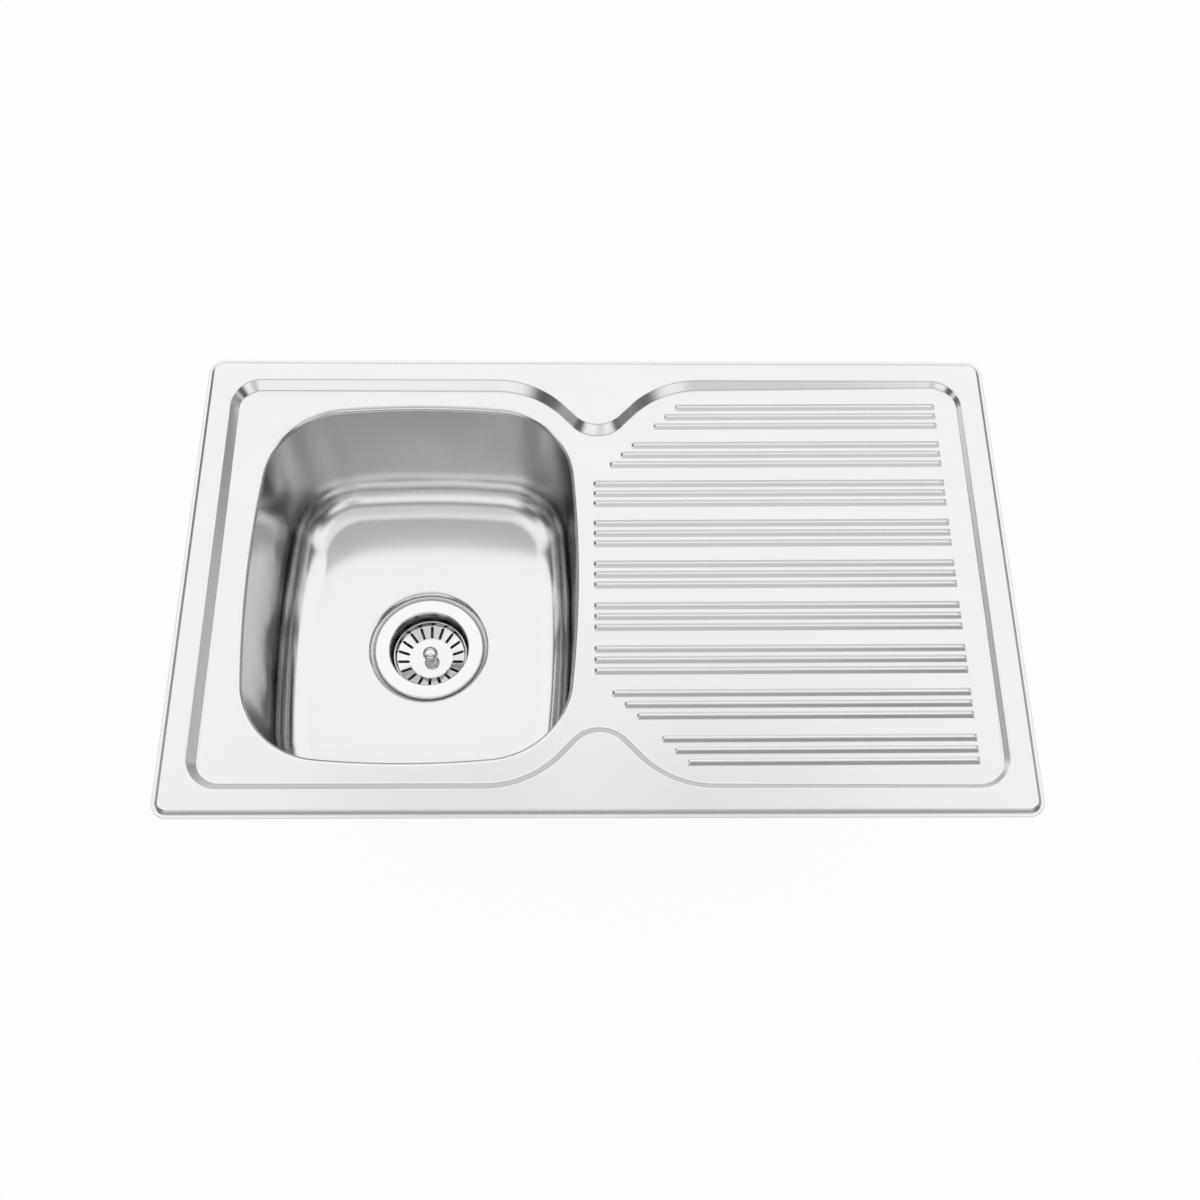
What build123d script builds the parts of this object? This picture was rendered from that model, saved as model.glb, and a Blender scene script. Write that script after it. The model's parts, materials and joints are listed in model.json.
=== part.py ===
from build123d import *
from math import acos, atan, atan2, cos, degrees, hypot, radians, sin, tan
import os

# Inset stainless steel kitchen sink, with one bowl on the left and a ribbed drainer on the right.
# Millimetres. X runs along the sink towards the drainer, Y to the back and Z up. The origin is the
# middle of the outline on the worktop, so z = 0 is the underside of the rim.

# Sheet and rim
SHEET = 0.8
SINK_LENGTH = 780.0
SINK_WIDTH = 480.0
OUTER_CORNER = 15.0
FLANGE_WIDTH = 4.0  # flat band that lies on the worktop
RIM_STEP = 3.7  # height of the ledge over the flat band
RIM_STEP_ANGLE = 36.0  # lean of the step from upright
RIM_CROWN = 2.0  # rounding at the top of the step
RIM_FOOT = 0.8  # rounding at its foot

# Sunk tray
LEDGE = 25.6  # outer edge to the edge of the tray
TRAY_DEPTH = 9.5
TRAY_WALL_ANGLE = 40.0
TRAY_CORNER = 30.0
TRAY_CROWN = 2.5
TRAY_FOOT = 3.0

# Tongues of the ledge that reach into the tray between bowl and drainer
TONGUE_GAP = 16.0  # bowl lip to the middle of the tongues
TONGUE_REACH = 52.4
TONGUE_TIP = 27.0
TONGUE_SHOULDER = 95.0
TONGUE_FLANK = 47.0  # steepest slope of its sides, from the X axis

# Bowl
BOWL_HALF_LENGTH = 159.5  # along X, at the start of the lip
BOWL_SIDE_ARC = 1200.0
BOWL_END_ARC = 850.0
BOWL_CORNER = 84.0
BOWL_MARGIN = 29.4  # tray edge to the start of the lip, at the end of the tray
BOWL_SIDE_MARGIN = 23.4  # the same, before and behind the bowl
BOWL_DEPTH = 176.0  # ledge to the floor beside the waste
BOWL_DRAFT = 2.5
BOWL_FOOT = 33.0  # rounding between wall and floor
LIP = 5.0  # rounding at the mouth
WELD_DROP = 6.0  # tray floor to the weld between deck and bowl
FLOOR_FALL = 2.6  # slope of the floor towards the waste, in degrees

# Dished seat of the waste
DISH_RADIUS = 62.0
DISH_SEAT_RADIUS = 57.2
DISH_DEPTH = 8.5
DISH_ROUND = 2.5
WASTE_HOLE = 43.0

# Drainer and its pressed beads
DRAINER_FALL = 3.9  # height that the drainer loses on its way to the bowl
DRAINER_BREAK = 6.0  # bowl lip to the start of the slope
BREAK_RADIUS = 900.0
BEAD_WIDTH = 8.0
BEAD_HEIGHT = 1.8
BEAD_PITCH = 11.0
BEADS_IN_GROUP = 3
GROUP_PITCH = 44.0
BEAD_START = 6.0  # start of the slope to the long beads
BEAD_END = 26.4  # end of the beads to the tray edge
BEAD_SIDE = 15.0  # least distance of a group's field from the tray edge
BEAD_TONGUE = 53.0  # room that the short beads leave beside a tongue's tip
BEAD_ROOT = 1.5  # how far a bead reaches under the tray floor before the sheet is hollowed

# Rim seal
SEAL_INSET = 8.2
SEAL_WIDTH = 3.3

# Worktop clips
CLIP_INSET = 26.0  # outer edge to the screw's axis
CLIP_END_MARGIN = 120.0  # end of the sink to the first clip of a long side
LUG_SHEET = 1.5
LUG_LENGTH = 22.0
LUG_WEB = 14.0  # screw axis to the outer face of the lug's web
LUG_TOP = 11.0  # width of its upper flange
LUG_SHELF_REACH = 8.0
LUG_DROP = 23.7  # ledge underside to the lug's lower face
NUT_FLATS = 8.0
NUT_HEIGHT = 4.0
SCREW_RADIUS = 2.5
SCREW_LENGTH = 38.0
SCREW_SHOW = 1.0  # screw tip over its nut when the clip is slack
SCREW_HEAD_RADIUS = 4.5
SCREW_HEAD = 4.0
SCREW_SLOT = 1.2
CLAW_SHEET = 2.0
CLAW_WIDTH = 12.0
CLAW_REACH = 26.0
CLAW_HEEL = 9.0
CLAW_RISE = 12.0
CLAW_TEETH = 3
CLAW_NOTCH = 1.6

# Sound-deadening pads
PAD = 3.0
BOWL_PAD_LENGTH = 180.0
BOWL_PAD_WIDTH = 55.0
BOWL_PAD_OFFSET = 105.0
DRAINER_PAD_START = 40.0  # start of the slope to the pad
DRAINER_PAD_END = 84.4  # pad to the tray edge
DRAINER_PAD_SIDE = 64.4
PAD_CORNER = 12.0

# Waste: flange, gaskets, body and its centre screw
FLANGE_RADIUS = 56.0
FLANGE_THICKNESS = 2.0
FLANGE_EDGE = 1.5
FLANGE_LIP = 0.8  # sheet of the edge that turns down round the gasket
FLANGE_GASKET = 2.0
GASKET_EDGE = 1.5  # how far the gaskets stay behind the edges that they seal
THROAT_RADIUS = 41.0
THROAT_ROUND = 2.0
THROAT_WALL = 0.9
THROAT_DEPTH = 31.5
SEAT_HOLE = 23.0
HUB_RADIUS = 10.0
HUB_DROP = 8.0
DRAIN_HOLES = 6
DRAIN_HOLE_RADIUS = 4.4
DRAIN_HOLE_CIRCLE = 16.6
BODY_GASKET = 3.0
BODY_RIM = 54.0
BODY_RIM_HEIGHT = 5.0
BODY_WALL = 3.0
BODY_CLEARANCE = 1.6  # between the throat and the inside of the body
BODY_STRAIGHT = 28.0
BODY_CONE = 26.0
OUTLET_RADIUS = 23.9
OUTLET_WALL = 3.4
OUTLET_LENGTH = 26.0
BOSS_RADIUS = 11.0
BOSS_LENGTH = 16.0
BOSS_DROP = 4.0  # end of the cone to the top of the boss
BOSS_ARMS = 3
BOSS_ARM = 3.0
INSERT_FLATS = 14.0
INSERT_LENGTH = 12.0
CENTRE_SCREW_RADIUS = 5.0
CENTRE_SCREW_HEAD = 2.2
CENTRE_SCREW_HEAD_RADIUS = 8.0
CENTRE_SCREW_SLOT = 2.0
CENTRE_SCREW_END = 1.0  # screw end to the bottom of its insert

# Strainer basket
BASKET_SHEET = 0.7
BASKET_DROP = 26.2  # flange top to the basket's floor
BASKET_FLOOR = 22.4
BASKET_SHOULDER = 35.8
BASKET_SHOULDER_RISE = 5.0
BASKET_RIM = 37.4
BASKET_RIM_RISE = 10.2
BASKET_BEAD = 0.9
SLOTS = 18
SLOT_WIDTH = 2.7
SLOT_LENGTH = 12.2
SLOT_START = 22.8  # radius at the slots' inner ends
KNOB_RADIUS = 8.0
KNOB_CENTRE = 11.6  # basket floor to the middle of the knob
KNOB_NECK = 3.6
KNOB_COLLAR = 5.2
KNOB_COLLAR_HEIGHT = 1.2
STUD_RADIUS = 2.5
STUD_LENGTH = 9.0
PIN_RADIUS = 3.8
PIN_LENGTH = 34.0
SEAL_RADIUS = 27.0
SEAL_BEVEL = 1.2
SEAL_WASHER_RADIUS = 19.0
SEAL_WASHER = 1.0
CLIP_RING = 1.2
CLIP_RING_RADIUS = 6.5
CLIP_GROOVE = 0.6

# Clearances
RUNNING = 0.05  # a shaft in its hole
LOOSE = 0.3  # pieces that only pass each other
TOUCH = 0.001  # for choosing faces by their height

# Heights and places that follow
DECK_TOP = SHEET + RIM_STEP
DECK_UNDER = DECK_TOP - SHEET
TRAY_Z = DECK_TOP - TRAY_DEPTH
WELD_Z = TRAY_Z - WELD_DROP
TRAY_X = SINK_LENGTH / 2 - LEDGE
TRAY_Y = SINK_WIDTH / 2 - LEDGE
TIP_Y = TRAY_Y - TONGUE_REACH
BOWL_HALF_WIDTH = TRAY_Y - BOWL_SIDE_MARGIN
BOWL_X = BOWL_MARGIN + BOWL_HALF_LENGTH - TRAY_X
TONGUE_X = BOWL_X + BOWL_HALF_LENGTH + TONGUE_GAP
BREAK_X = BOWL_X + BOWL_HALF_LENGTH + DRAINER_BREAK
DRAINER_LENGTH = TRAY_X - BREAK_X
DRAINER_ANGLE = atan(DRAINER_FALL / DRAINER_LENGTH)
DRAINER = Plane(
    (BREAK_X, 0, TRAY_Z),
    x_dir=(cos(DRAINER_ANGLE), 0, sin(DRAINER_ANGLE)),
    z_dir=(-sin(DRAINER_ANGLE), 0, cos(DRAINER_ANGLE)),
)
WASTE = Plane((BOWL_X, 0, 0), x_dir=(1, 0, 0), z_dir=(0, -1, 0))  # radius and height of turned pieces
WASTE_AXIS = Axis((BOWL_X, 0, 0), (0, 0, 1))
FLOOR_Z = DECK_TOP - BOWL_DEPTH
SEAT_Z = FLOOR_Z - DISH_DEPTH
FLANGE_UNDER = SEAT_Z + FLANGE_GASKET
FLANGE_TOP = FLANGE_UNDER + FLANGE_THICKNESS
THROAT_OUTER = THROAT_RADIUS + THROAT_WALL
CUP_Z = FLANGE_TOP - THROAT_DEPTH
HUB_Z = CUP_Z - HUB_DROP
BODY_TOP = SEAT_Z - SHEET - BODY_GASKET
BODY_BORE = THROAT_OUTER + BODY_CLEARANCE
CONE_TOP = BODY_TOP - BODY_STRAIGHT
CONE_BOTTOM = CONE_TOP - BODY_CONE
OUTLET_BORE = OUTLET_RADIUS - OUTLET_WALL
BOSS_TOP = CONE_BOTTOM - BOSS_DROP
INSERT_BOTTOM = BOSS_TOP - INSERT_LENGTH
BASKET_Z = FLANGE_TOP - BASKET_DROP
BASKET_UNDER = BASKET_Z - BASKET_SHEET
STUD_TOP = BASKET_UNDER + STUD_LENGTH
RING_TOP = CUP_Z - SEAL_WASHER
GROOVE_RADIUS = PIN_RADIUS - CLIP_GROOVE
LUG_BOTTOM = DECK_UNDER - LUG_DROP
SCREW_TIP = LUG_BOTTOM + LUG_SHEET + NUT_HEIGHT + SCREW_SHOW
CLAW_Z = SCREW_TIP - SCREW_LENGTH
CLIP_X = SINK_LENGTH / 2 - CLIP_END_MARGIN
CLIP_SIDE_X = SINK_LENGTH / 2 - CLIP_INSET
CLIP_SIDE_Y = SINK_WIDTH / 2 - CLIP_INSET
CLIPS = [Plane((x, -CLIP_SIDE_Y, 0), x_dir=(0, -1, 0)) for x in (-CLIP_X, 0, CLIP_X)]
CLIPS += [Plane((x, CLIP_SIDE_Y, 0), x_dir=(0, 1, 0)) for x in (-CLIP_X, 0, CLIP_X)]
CLIPS += [Plane((side * CLIP_SIDE_X, 0, 0), x_dir=(side, 0, 0)) for side in (-1, 1)]


def save(piece, name):
    """Label a finished piece and write its file."""
    piece.part.label = name
    export_step(piece.part, f"parts/{name}.step")


def slope_shift(skin, angle):
    """Sideways move of a slope's foot when skin is taken off both it and the flat beside it."""
    return skin * tan(radians(90 - angle) / 2)


def level(piece, z):
    """The flat face of a piece at height z."""
    return piece.faces().filter_by(Axis.Z).filter_by_position(Axis.Z, z - TOUCH, z + TOUCH)[0]


def rim_outline(inset):
    """The sink's outer outline, moved inwards by inset."""
    with BuildSketch() as outline:
        RectangleRounded(SINK_LENGTH - 2 * inset, SINK_WIDTH - 2 * inset, OUTER_CORNER - inset)
    return outline.sketch


def tray_outline(inset):
    """Edge of the sunk tray with its two tongues, moved inwards by inset."""
    flank = radians(TONGUE_FLANK)
    arcs = TONGUE_TIP + TONGUE_SHOULDER
    straight = (TONGUE_REACH - arcs * (1 - cos(flank))) / sin(flank)
    shoulder_run = arcs * sin(flank) + straight * cos(flank)
    corner_x = TRAY_X - TRAY_CORNER
    corner_y = TRAY_Y - TRAY_CORNER
    with BuildSketch() as outline:
        with BuildLine():
            tip = CenterArc((TONGUE_X, TIP_Y + TONGUE_TIP), TONGUE_TIP + inset, -90, TONGUE_FLANK)
            shoulder = CenterArc(
                (TONGUE_X + shoulder_run, TRAY_Y - TONGUE_SHOULDER),
                TONGUE_SHOULDER - inset,
                90 + TONGUE_FLANK,
                -TONGUE_FLANK,
            )
            Line(tip @ 1, shoulder @ 0)
            mirror(about=Plane.YZ.offset(TONGUE_X))
            right = CenterArc((corner_x, corner_y), TRAY_CORNER - inset, 90, -90)
            Line(shoulder @ 1, right @ 0)
            Line(right @ 1, (TRAY_X - inset, 0))
            left = CenterArc((-corner_x, corner_y), TRAY_CORNER - inset, 90, 90)
            Line((TONGUE_X - shoulder_run, TRAY_Y - inset), left @ 0)
            Line(left @ 1, (inset - TRAY_X, 0))
            mirror(about=Plane.XZ)
        make_face()
    return outline.sketch


def bowl_outline(inset):
    """Start of the bowl's lip, four shallow arcs with round corners, moved inwards by inset.

    The corner's centre is found from the triangle that it makes with the centres of the two arcs beside it.
    """
    side_x = BOWL_SIDE_ARC - BOWL_HALF_LENGTH
    end_y = BOWL_END_ARC - BOWL_HALF_WIDTH
    to_side = BOWL_SIDE_ARC - BOWL_CORNER
    to_end = BOWL_END_ARC - BOWL_CORNER
    apart = hypot(side_x, end_y)
    turn = acos((apart**2 + to_side**2 - to_end**2) / (2 * apart * to_side))
    side_angle = turn - atan2(end_y, side_x)
    corner_x = to_side * cos(side_angle) - side_x
    corner_y = to_side * sin(side_angle)
    end_angle = degrees(atan2(corner_y + end_y, corner_x))
    side_angle = degrees(side_angle)
    with BuildSketch() as outline:
        with BuildLine():
            CenterArc((-side_x, 0), BOWL_SIDE_ARC - inset, 0, side_angle)
            CenterArc((corner_x, corner_y), BOWL_CORNER - inset, side_angle, end_angle - side_angle)
            CenterArc((0, -end_y), BOWL_END_ARC - inset, end_angle, 90 - end_angle)
            mirror(about=Plane.YZ)
            mirror(about=Plane.XZ)
        make_face()
    return outline.sketch


def tray_space(skin):
    """The space in the tray over its floor, grown by skin."""
    top = DECK_TOP - skin
    grow = slope_shift(skin, TRAY_WALL_ANGLE)
    far_x = SINK_LENGTH / 2
    floor_z = TRAY_Z - skin
    break_x = BREAK_X + skin * tan(DRAINER_ANGLE / 2)
    far_z = floor_z + (far_x - break_x) * tan(DRAINER_ANGLE)
    below = floor_z - TRAY_DEPTH
    nearly_flat = cos(radians(TRAY_WALL_ANGLE / 2))
    with BuildPart() as space:
        with BuildSketch(Plane.XY.offset(top)):
            add(tray_outline(-grow))
        extrude(amount=below - top, taper=TRAY_WALL_ANGLE)
        with BuildSketch(Plane.XZ):
            with BuildLine():
                FilletPolyline((-far_x, floor_z), (break_x, floor_z), (far_x, far_z), radius=BREAK_RADIUS)
                Polyline((far_x, far_z), (far_x, below - SHEET), (-far_x, below - SHEET), (-far_x, floor_z))
            make_face()
        extrude(amount=SINK_WIDTH, both=True, mode=Mode.SUBTRACT)
        floors = space.faces().filter_by(lambda face: face.normal_at().Z < -nearly_flat)
        walls = space.faces().filter_by(lambda face: abs(face.normal_at().Z) < nearly_flat)
        fillet(floors.edges() & walls.edges(), TRAY_FOOT + skin)
    return space.part


def beads(skin):
    """The drainer's beads, round bars with round ends set into its slope, with skin taken off."""
    bar = (BEAD_WIDTH**2 / 4 + BEAD_HEIGHT**2) / (2 * BEAD_HEIGHT)
    depth = BEAD_HEIGHT - bar
    groups = int(2 * (TRAY_Y - BEAD_SIDE) / GROUP_PITCH)
    end = (DRAINER_LENGTH - BEAD_END) / cos(DRAINER_ANGLE) - BEAD_WIDTH / 2
    with BuildPart(DRAINER) as field:
        for group in range(groups):
            middle = (group - (groups - 1) / 2) * GROUP_PITCH
            for bead in range(BEADS_IN_GROUP):
                y = middle + (bead - (BEADS_IN_GROUP - 1) / 2) * BEAD_PITCH
                beside_tongue = TONGUE_X + abs(y) - TIP_Y + BEAD_TONGUE - BREAK_X
                start = max(BEAD_START, beside_tongue) + BEAD_WIDTH / 2
                with Locations(((start + end) / 2, y, depth)):
                    Cylinder(bar - skin, end - start, rotation=(0, 90, 0))
                with Locations((start, y, depth), (end, y, depth)):
                    Sphere(bar - skin)
        split(bisect_by=DRAINER.offset(-BEAD_ROOT - skin), keep=Keep.TOP)
    return field.part


def deck_form(skin):
    """Everything under the deck's upper face, down to the weld, with skin taken off that face."""
    base = WELD_Z - skin
    flange_z = SHEET - skin
    top = DECK_TOP - skin
    floor_z = TRAY_Z - skin
    step_inset = FLANGE_WIDTH + slope_shift(skin, RIM_STEP_ANGLE)
    with BuildPart() as form:
        with BuildSketch(Plane.XY.offset(base)):
            add(rim_outline(-skin))
        extrude(amount=flange_z - base)
        with BuildSketch(Plane.XY.offset(flange_z)):
            add(rim_outline(step_inset))
        extrude(amount=RIM_STEP, taper=RIM_STEP_ANGLE)
        fillet(level(form, top).outer_wire().edges(), RIM_CROWN - skin)
        fillet(level(form, flange_z).inner_wires()[0].edges(), RIM_FOOT + skin)
        add(tray_space(skin), mode=Mode.SUBTRACT)
        fillet(level(form, top).inner_wires()[0].edges(), TRAY_CROWN - skin)
        with BuildSketch(Plane((BOWL_X, 0, floor_z))):
            add(bowl_outline(slope_shift(LIP - skin, BOWL_DRAFT)))
        extrude(amount=base - floor_z, taper=BOWL_DRAFT, mode=Mode.SUBTRACT)
        fillet(level(form, floor_z).inner_wires()[0].edges(), LIP - skin)
        add(beads(skin))
    return form.part


def bowl_form(skin):
    """The space inside the bowl under the weld, grown by skin."""
    draft = radians(BOWL_DRAFT)
    mouth_inset = slope_shift(LIP, BOWL_DRAFT) + WELD_DROP * tan(draft) - skin / cos(draft)
    floor_z = FLOOR_Z - skin
    seat_z = SEAT_Z - skin
    below = 2 * seat_z
    far = BOWL_HALF_LENGTH + BOWL_HALF_WIDTH
    rise = (far - DISH_RADIUS) * tan(radians(FLOOR_FALL))
    dish_lean = degrees(atan((DISH_RADIUS - DISH_SEAT_RADIUS) / DISH_DEPTH))
    dish_grow = slope_shift(skin, dish_lean)
    with BuildPart() as form:
        with BuildSketch(Plane((BOWL_X, 0, WELD_Z))):
            add(bowl_outline(mouth_inset))
        extrude(amount=seat_z - WELD_Z, taper=BOWL_DRAFT)
        with BuildSketch(WASTE):
            with BuildLine():
                Polyline(
                    (0, floor_z),
                    (DISH_RADIUS, floor_z),
                    (far, floor_z + rise),
                    (far, below),
                    (0, below),
                    close=True,
                )
            make_face()
        revolve(axis=WASTE_AXIS, mode=Mode.SUBTRACT)
        wall_edges = form.faces().filter_by(lambda face: abs(face.normal_at().Z) < 2 * sin(draft)).edges()
        floor_edges = form.faces().filter_by(GeomType.CONE).sort_by(Axis.Z)[0].edges()
        fillet(wall_edges & floor_edges, BOWL_FOOT + skin)
        with BuildSketch(WASTE):
            with BuildLine():
                Polyline(
                    (0, floor_z),
                    (DISH_RADIUS + dish_grow, floor_z),
                    (DISH_SEAT_RADIUS + dish_grow, seat_z),
                    (0, seat_z),
                    close=True,
                )
            make_face()
        revolve(axis=WASTE_AXIS)
        fillet(level(form, seat_z).outer_wire().edges(), DISH_ROUND + skin)
    return form.part


def ring(inner, outer, low, high):
    """A plain ring on the waste's axis."""
    with BuildPart() as washer:
        with BuildSketch(Plane((BOWL_X, 0, low))):
            Circle(outer)
            Circle(inner, mode=Mode.SUBTRACT)
        extrude(amount=high - low)
    return washer.part


os.makedirs("parts", exist_ok=True)

# Deck: rim, ledge, tray, tongues, drainer and turned-down lip, pressed from one sheet
with BuildPart() as deck:
    add(deck_form(0))
    add(deck_form(SHEET), mode=Mode.SUBTRACT)
save(deck, "deck")

# Bowl: drawn sheet, welded to the lip, with a dished seat and a hole for the waste
bowl_inside = bowl_form(0)
bowl_outside = bowl_form(SHEET)
with BuildPart() as bowl:
    add(bowl_outside)
    add(bowl_inside, mode=Mode.SUBTRACT)
    with BuildSketch(Plane((BOWL_X, 0, SEAT_Z))):
        Circle(WASTE_HOLE)
    extrude(amount=SHEET, both=True, mode=Mode.SUBTRACT)
save(bowl, "bowl")

# Seal strip under the ledge
with BuildPart() as rim_seal:
    with BuildSketch():
        add(rim_outline(SEAL_INSET))
        add(rim_outline(SEAL_INSET + SEAL_WIDTH), mode=Mode.SUBTRACT)
    extrude(amount=DECK_UNDER)
save(rim_seal, "rim_seal")

# Sound-deadening pads under the bowl floor, before and behind the waste
with BuildPart() as bowl_pads:
    add(bowl_form(SHEET + PAD))
    add(bowl_outside, mode=Mode.SUBTRACT)
    with BuildSketch(Plane((BOWL_X, 0, SEAT_Z))):
        with Locations((0, -BOWL_PAD_OFFSET), (0, BOWL_PAD_OFFSET)):
            RectangleRounded(BOWL_PAD_LENGTH, BOWL_PAD_WIDTH, PAD_CORNER)
    extrude(amount=BOWL_DEPTH / 2, both=True, mode=Mode.INTERSECT)
save(bowl_pads, "bowl_pads")

# Pad under the drainer, against the flats between its beads
with BuildPart() as drainer_pad:
    pad_length = DRAINER_LENGTH - DRAINER_PAD_START - DRAINER_PAD_END
    with BuildSketch(DRAINER.offset(-SHEET)):
        with Locations((DRAINER_PAD_START + pad_length / 2, 0)):
            RectangleRounded(pad_length, 2 * (TRAY_Y - DRAINER_PAD_SIDE), PAD_CORNER)
    extrude(amount=-PAD)
save(drainer_pad, "drainer_pad")

# Clip lugs: bent strips welded under the ledge, each with a shelf for a nut
with BuildPart() as clip_lugs:
    for clip in CLIPS:
        with BuildSketch(Plane(clip.origin, x_dir=clip.x_dir, z_dir=-clip.y_dir)):
            with BuildLine():
                Polyline(
                    (LUG_WEB - LUG_TOP, DECK_UNDER),
                    (LUG_WEB, DECK_UNDER),
                    (LUG_WEB, LUG_BOTTOM),
                    (-LUG_SHELF_REACH, LUG_BOTTOM),
                    (-LUG_SHELF_REACH, LUG_BOTTOM + LUG_SHEET),
                    (LUG_WEB - LUG_SHEET, LUG_BOTTOM + LUG_SHEET),
                    (LUG_WEB - LUG_SHEET, DECK_UNDER - LUG_SHEET),
                    (LUG_WEB - LUG_TOP, DECK_UNDER - LUG_SHEET),
                    close=True,
                )
            make_face()
        extrude(amount=LUG_LENGTH / 2, both=True)
        with BuildSketch(clip.offset(LUG_BOTTOM)):
            Circle(SCREW_RADIUS + LOOSE)
        extrude(amount=LUG_SHEET, mode=Mode.SUBTRACT)
save(clip_lugs, "clip_lugs")

# Weld nuts on the shelves of the lugs
with BuildPart() as clip_nuts:
    for clip in CLIPS:
        with BuildSketch(clip.offset(LUG_BOTTOM + LUG_SHEET)):
            RegularPolygon(NUT_FLATS / 2, 6, major_radius=False)
            Circle(SCREW_RADIUS + RUNNING, mode=Mode.SUBTRACT)
        extrude(amount=NUT_HEIGHT)
save(clip_nuts, "clip_nuts")

# Clip screws, each with a slotted head below, and the claws that they draw up against the worktop
for number, clip in enumerate(CLIPS, 1):
    with BuildPart() as clip_screw:
        with BuildSketch(clip.offset(CLAW_Z)):
            Circle(SCREW_RADIUS)
        extrude(amount=SCREW_LENGTH)
        with BuildSketch(clip.offset(CLAW_Z - SCREW_HEAD)):
            Circle(SCREW_HEAD_RADIUS)
        extrude(amount=SCREW_HEAD)
        with BuildSketch(clip.offset(CLAW_Z - SCREW_HEAD)):
            Rectangle(2 * SCREW_HEAD_RADIUS, SCREW_SLOT)
        extrude(amount=SCREW_HEAD / 2, mode=Mode.SUBTRACT)
    save(clip_screw, f"clip_screw_{number}")

    with BuildPart() as clip_claw:
        with BuildSketch(clip.offset(CLAW_Z)):
            with Locations((0, (CLAW_REACH - CLAW_HEEL) / 2)):
                Rectangle(CLAW_WIDTH, CLAW_REACH + CLAW_HEEL)
            Circle(SCREW_RADIUS + RUNNING, mode=Mode.SUBTRACT)
        extrude(amount=CLAW_SHEET)
        with BuildSketch(clip.offset(CLAW_Z)):
            with Locations((0, CLAW_REACH - CLAW_SHEET / 2)):
                Rectangle(CLAW_WIDTH, CLAW_SHEET)
        extrude(amount=CLAW_RISE)
        with BuildSketch(clip.offset(CLAW_Z + CLAW_RISE)):
            with Locations((0, CLAW_REACH - CLAW_SHEET / 2)):
                with GridLocations(CLAW_WIDTH / CLAW_TEETH, CLAW_SHEET, CLAW_TEETH - 1, 1):
                    Rectangle(CLAW_NOTCH, CLAW_SHEET)
        extrude(amount=-CLAW_NOTCH, mode=Mode.SUBTRACT)
    save(clip_claw, f"clip_claw_{number}")

# Waste flange: rim with a turned-down edge, throat and a dished bottom with drain holes round the hub
with BuildPart() as waste_flange:
    with BuildSketch(WASTE) as flange_section:
        with BuildLine():
            Polyline(
                (CENTRE_SCREW_RADIUS + LOOSE, HUB_Z),
                (HUB_RADIUS, HUB_Z),
                (SEAT_HOLE, CUP_Z),
                (THROAT_RADIUS, CUP_Z),
                (THROAT_RADIUS, FLANGE_TOP),
                (FLANGE_RADIUS, FLANGE_TOP),
                (FLANGE_RADIUS, SEAT_Z + LOOSE),
                (FLANGE_RADIUS - FLANGE_LIP, SEAT_Z + LOOSE),
                (FLANGE_RADIUS - FLANGE_LIP, FLANGE_UNDER),
                (THROAT_OUTER, FLANGE_UNDER),
                (THROAT_OUTER, CUP_Z - THROAT_WALL),
                (SEAT_HOLE, CUP_Z - THROAT_WALL),
                (HUB_RADIUS, HUB_Z - THROAT_WALL),
                (CENTRE_SCREW_RADIUS + LOOSE, HUB_Z - THROAT_WALL),
                close=True,
            )
        make_face()
        top_corners = flange_section.vertices().group_by(Axis.Y)[-1].sort_by(Axis.X)
        fillet(top_corners[0], THROAT_ROUND)
        fillet(top_corners[1], FLANGE_EDGE)
    revolve(axis=WASTE_AXIS)
    with BuildSketch(Plane((BOWL_X, 0, HUB_Z - HUB_DROP))):
        with PolarLocations(DRAIN_HOLE_CIRCLE, DRAIN_HOLES):
            Circle(DRAIN_HOLE_RADIUS)
    extrude(amount=2 * HUB_DROP + THROAT_WALL, mode=Mode.SUBTRACT)
save(waste_flange, "waste_flange")

# Gaskets over and under the bowl's seat
with BuildPart() as flange_gasket:
    add(ring(WASTE_HOLE + GASKET_EDGE, FLANGE_RADIUS - GASKET_EDGE, SEAT_Z, FLANGE_UNDER))
save(flange_gasket, "flange_gasket")

with BuildPart() as body_gasket:
    add(ring(WASTE_HOLE + GASKET_EDGE, BODY_RIM - GASKET_EDGE, BODY_TOP, SEAT_Z - SHEET))
save(body_gasket, "body_gasket")

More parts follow.
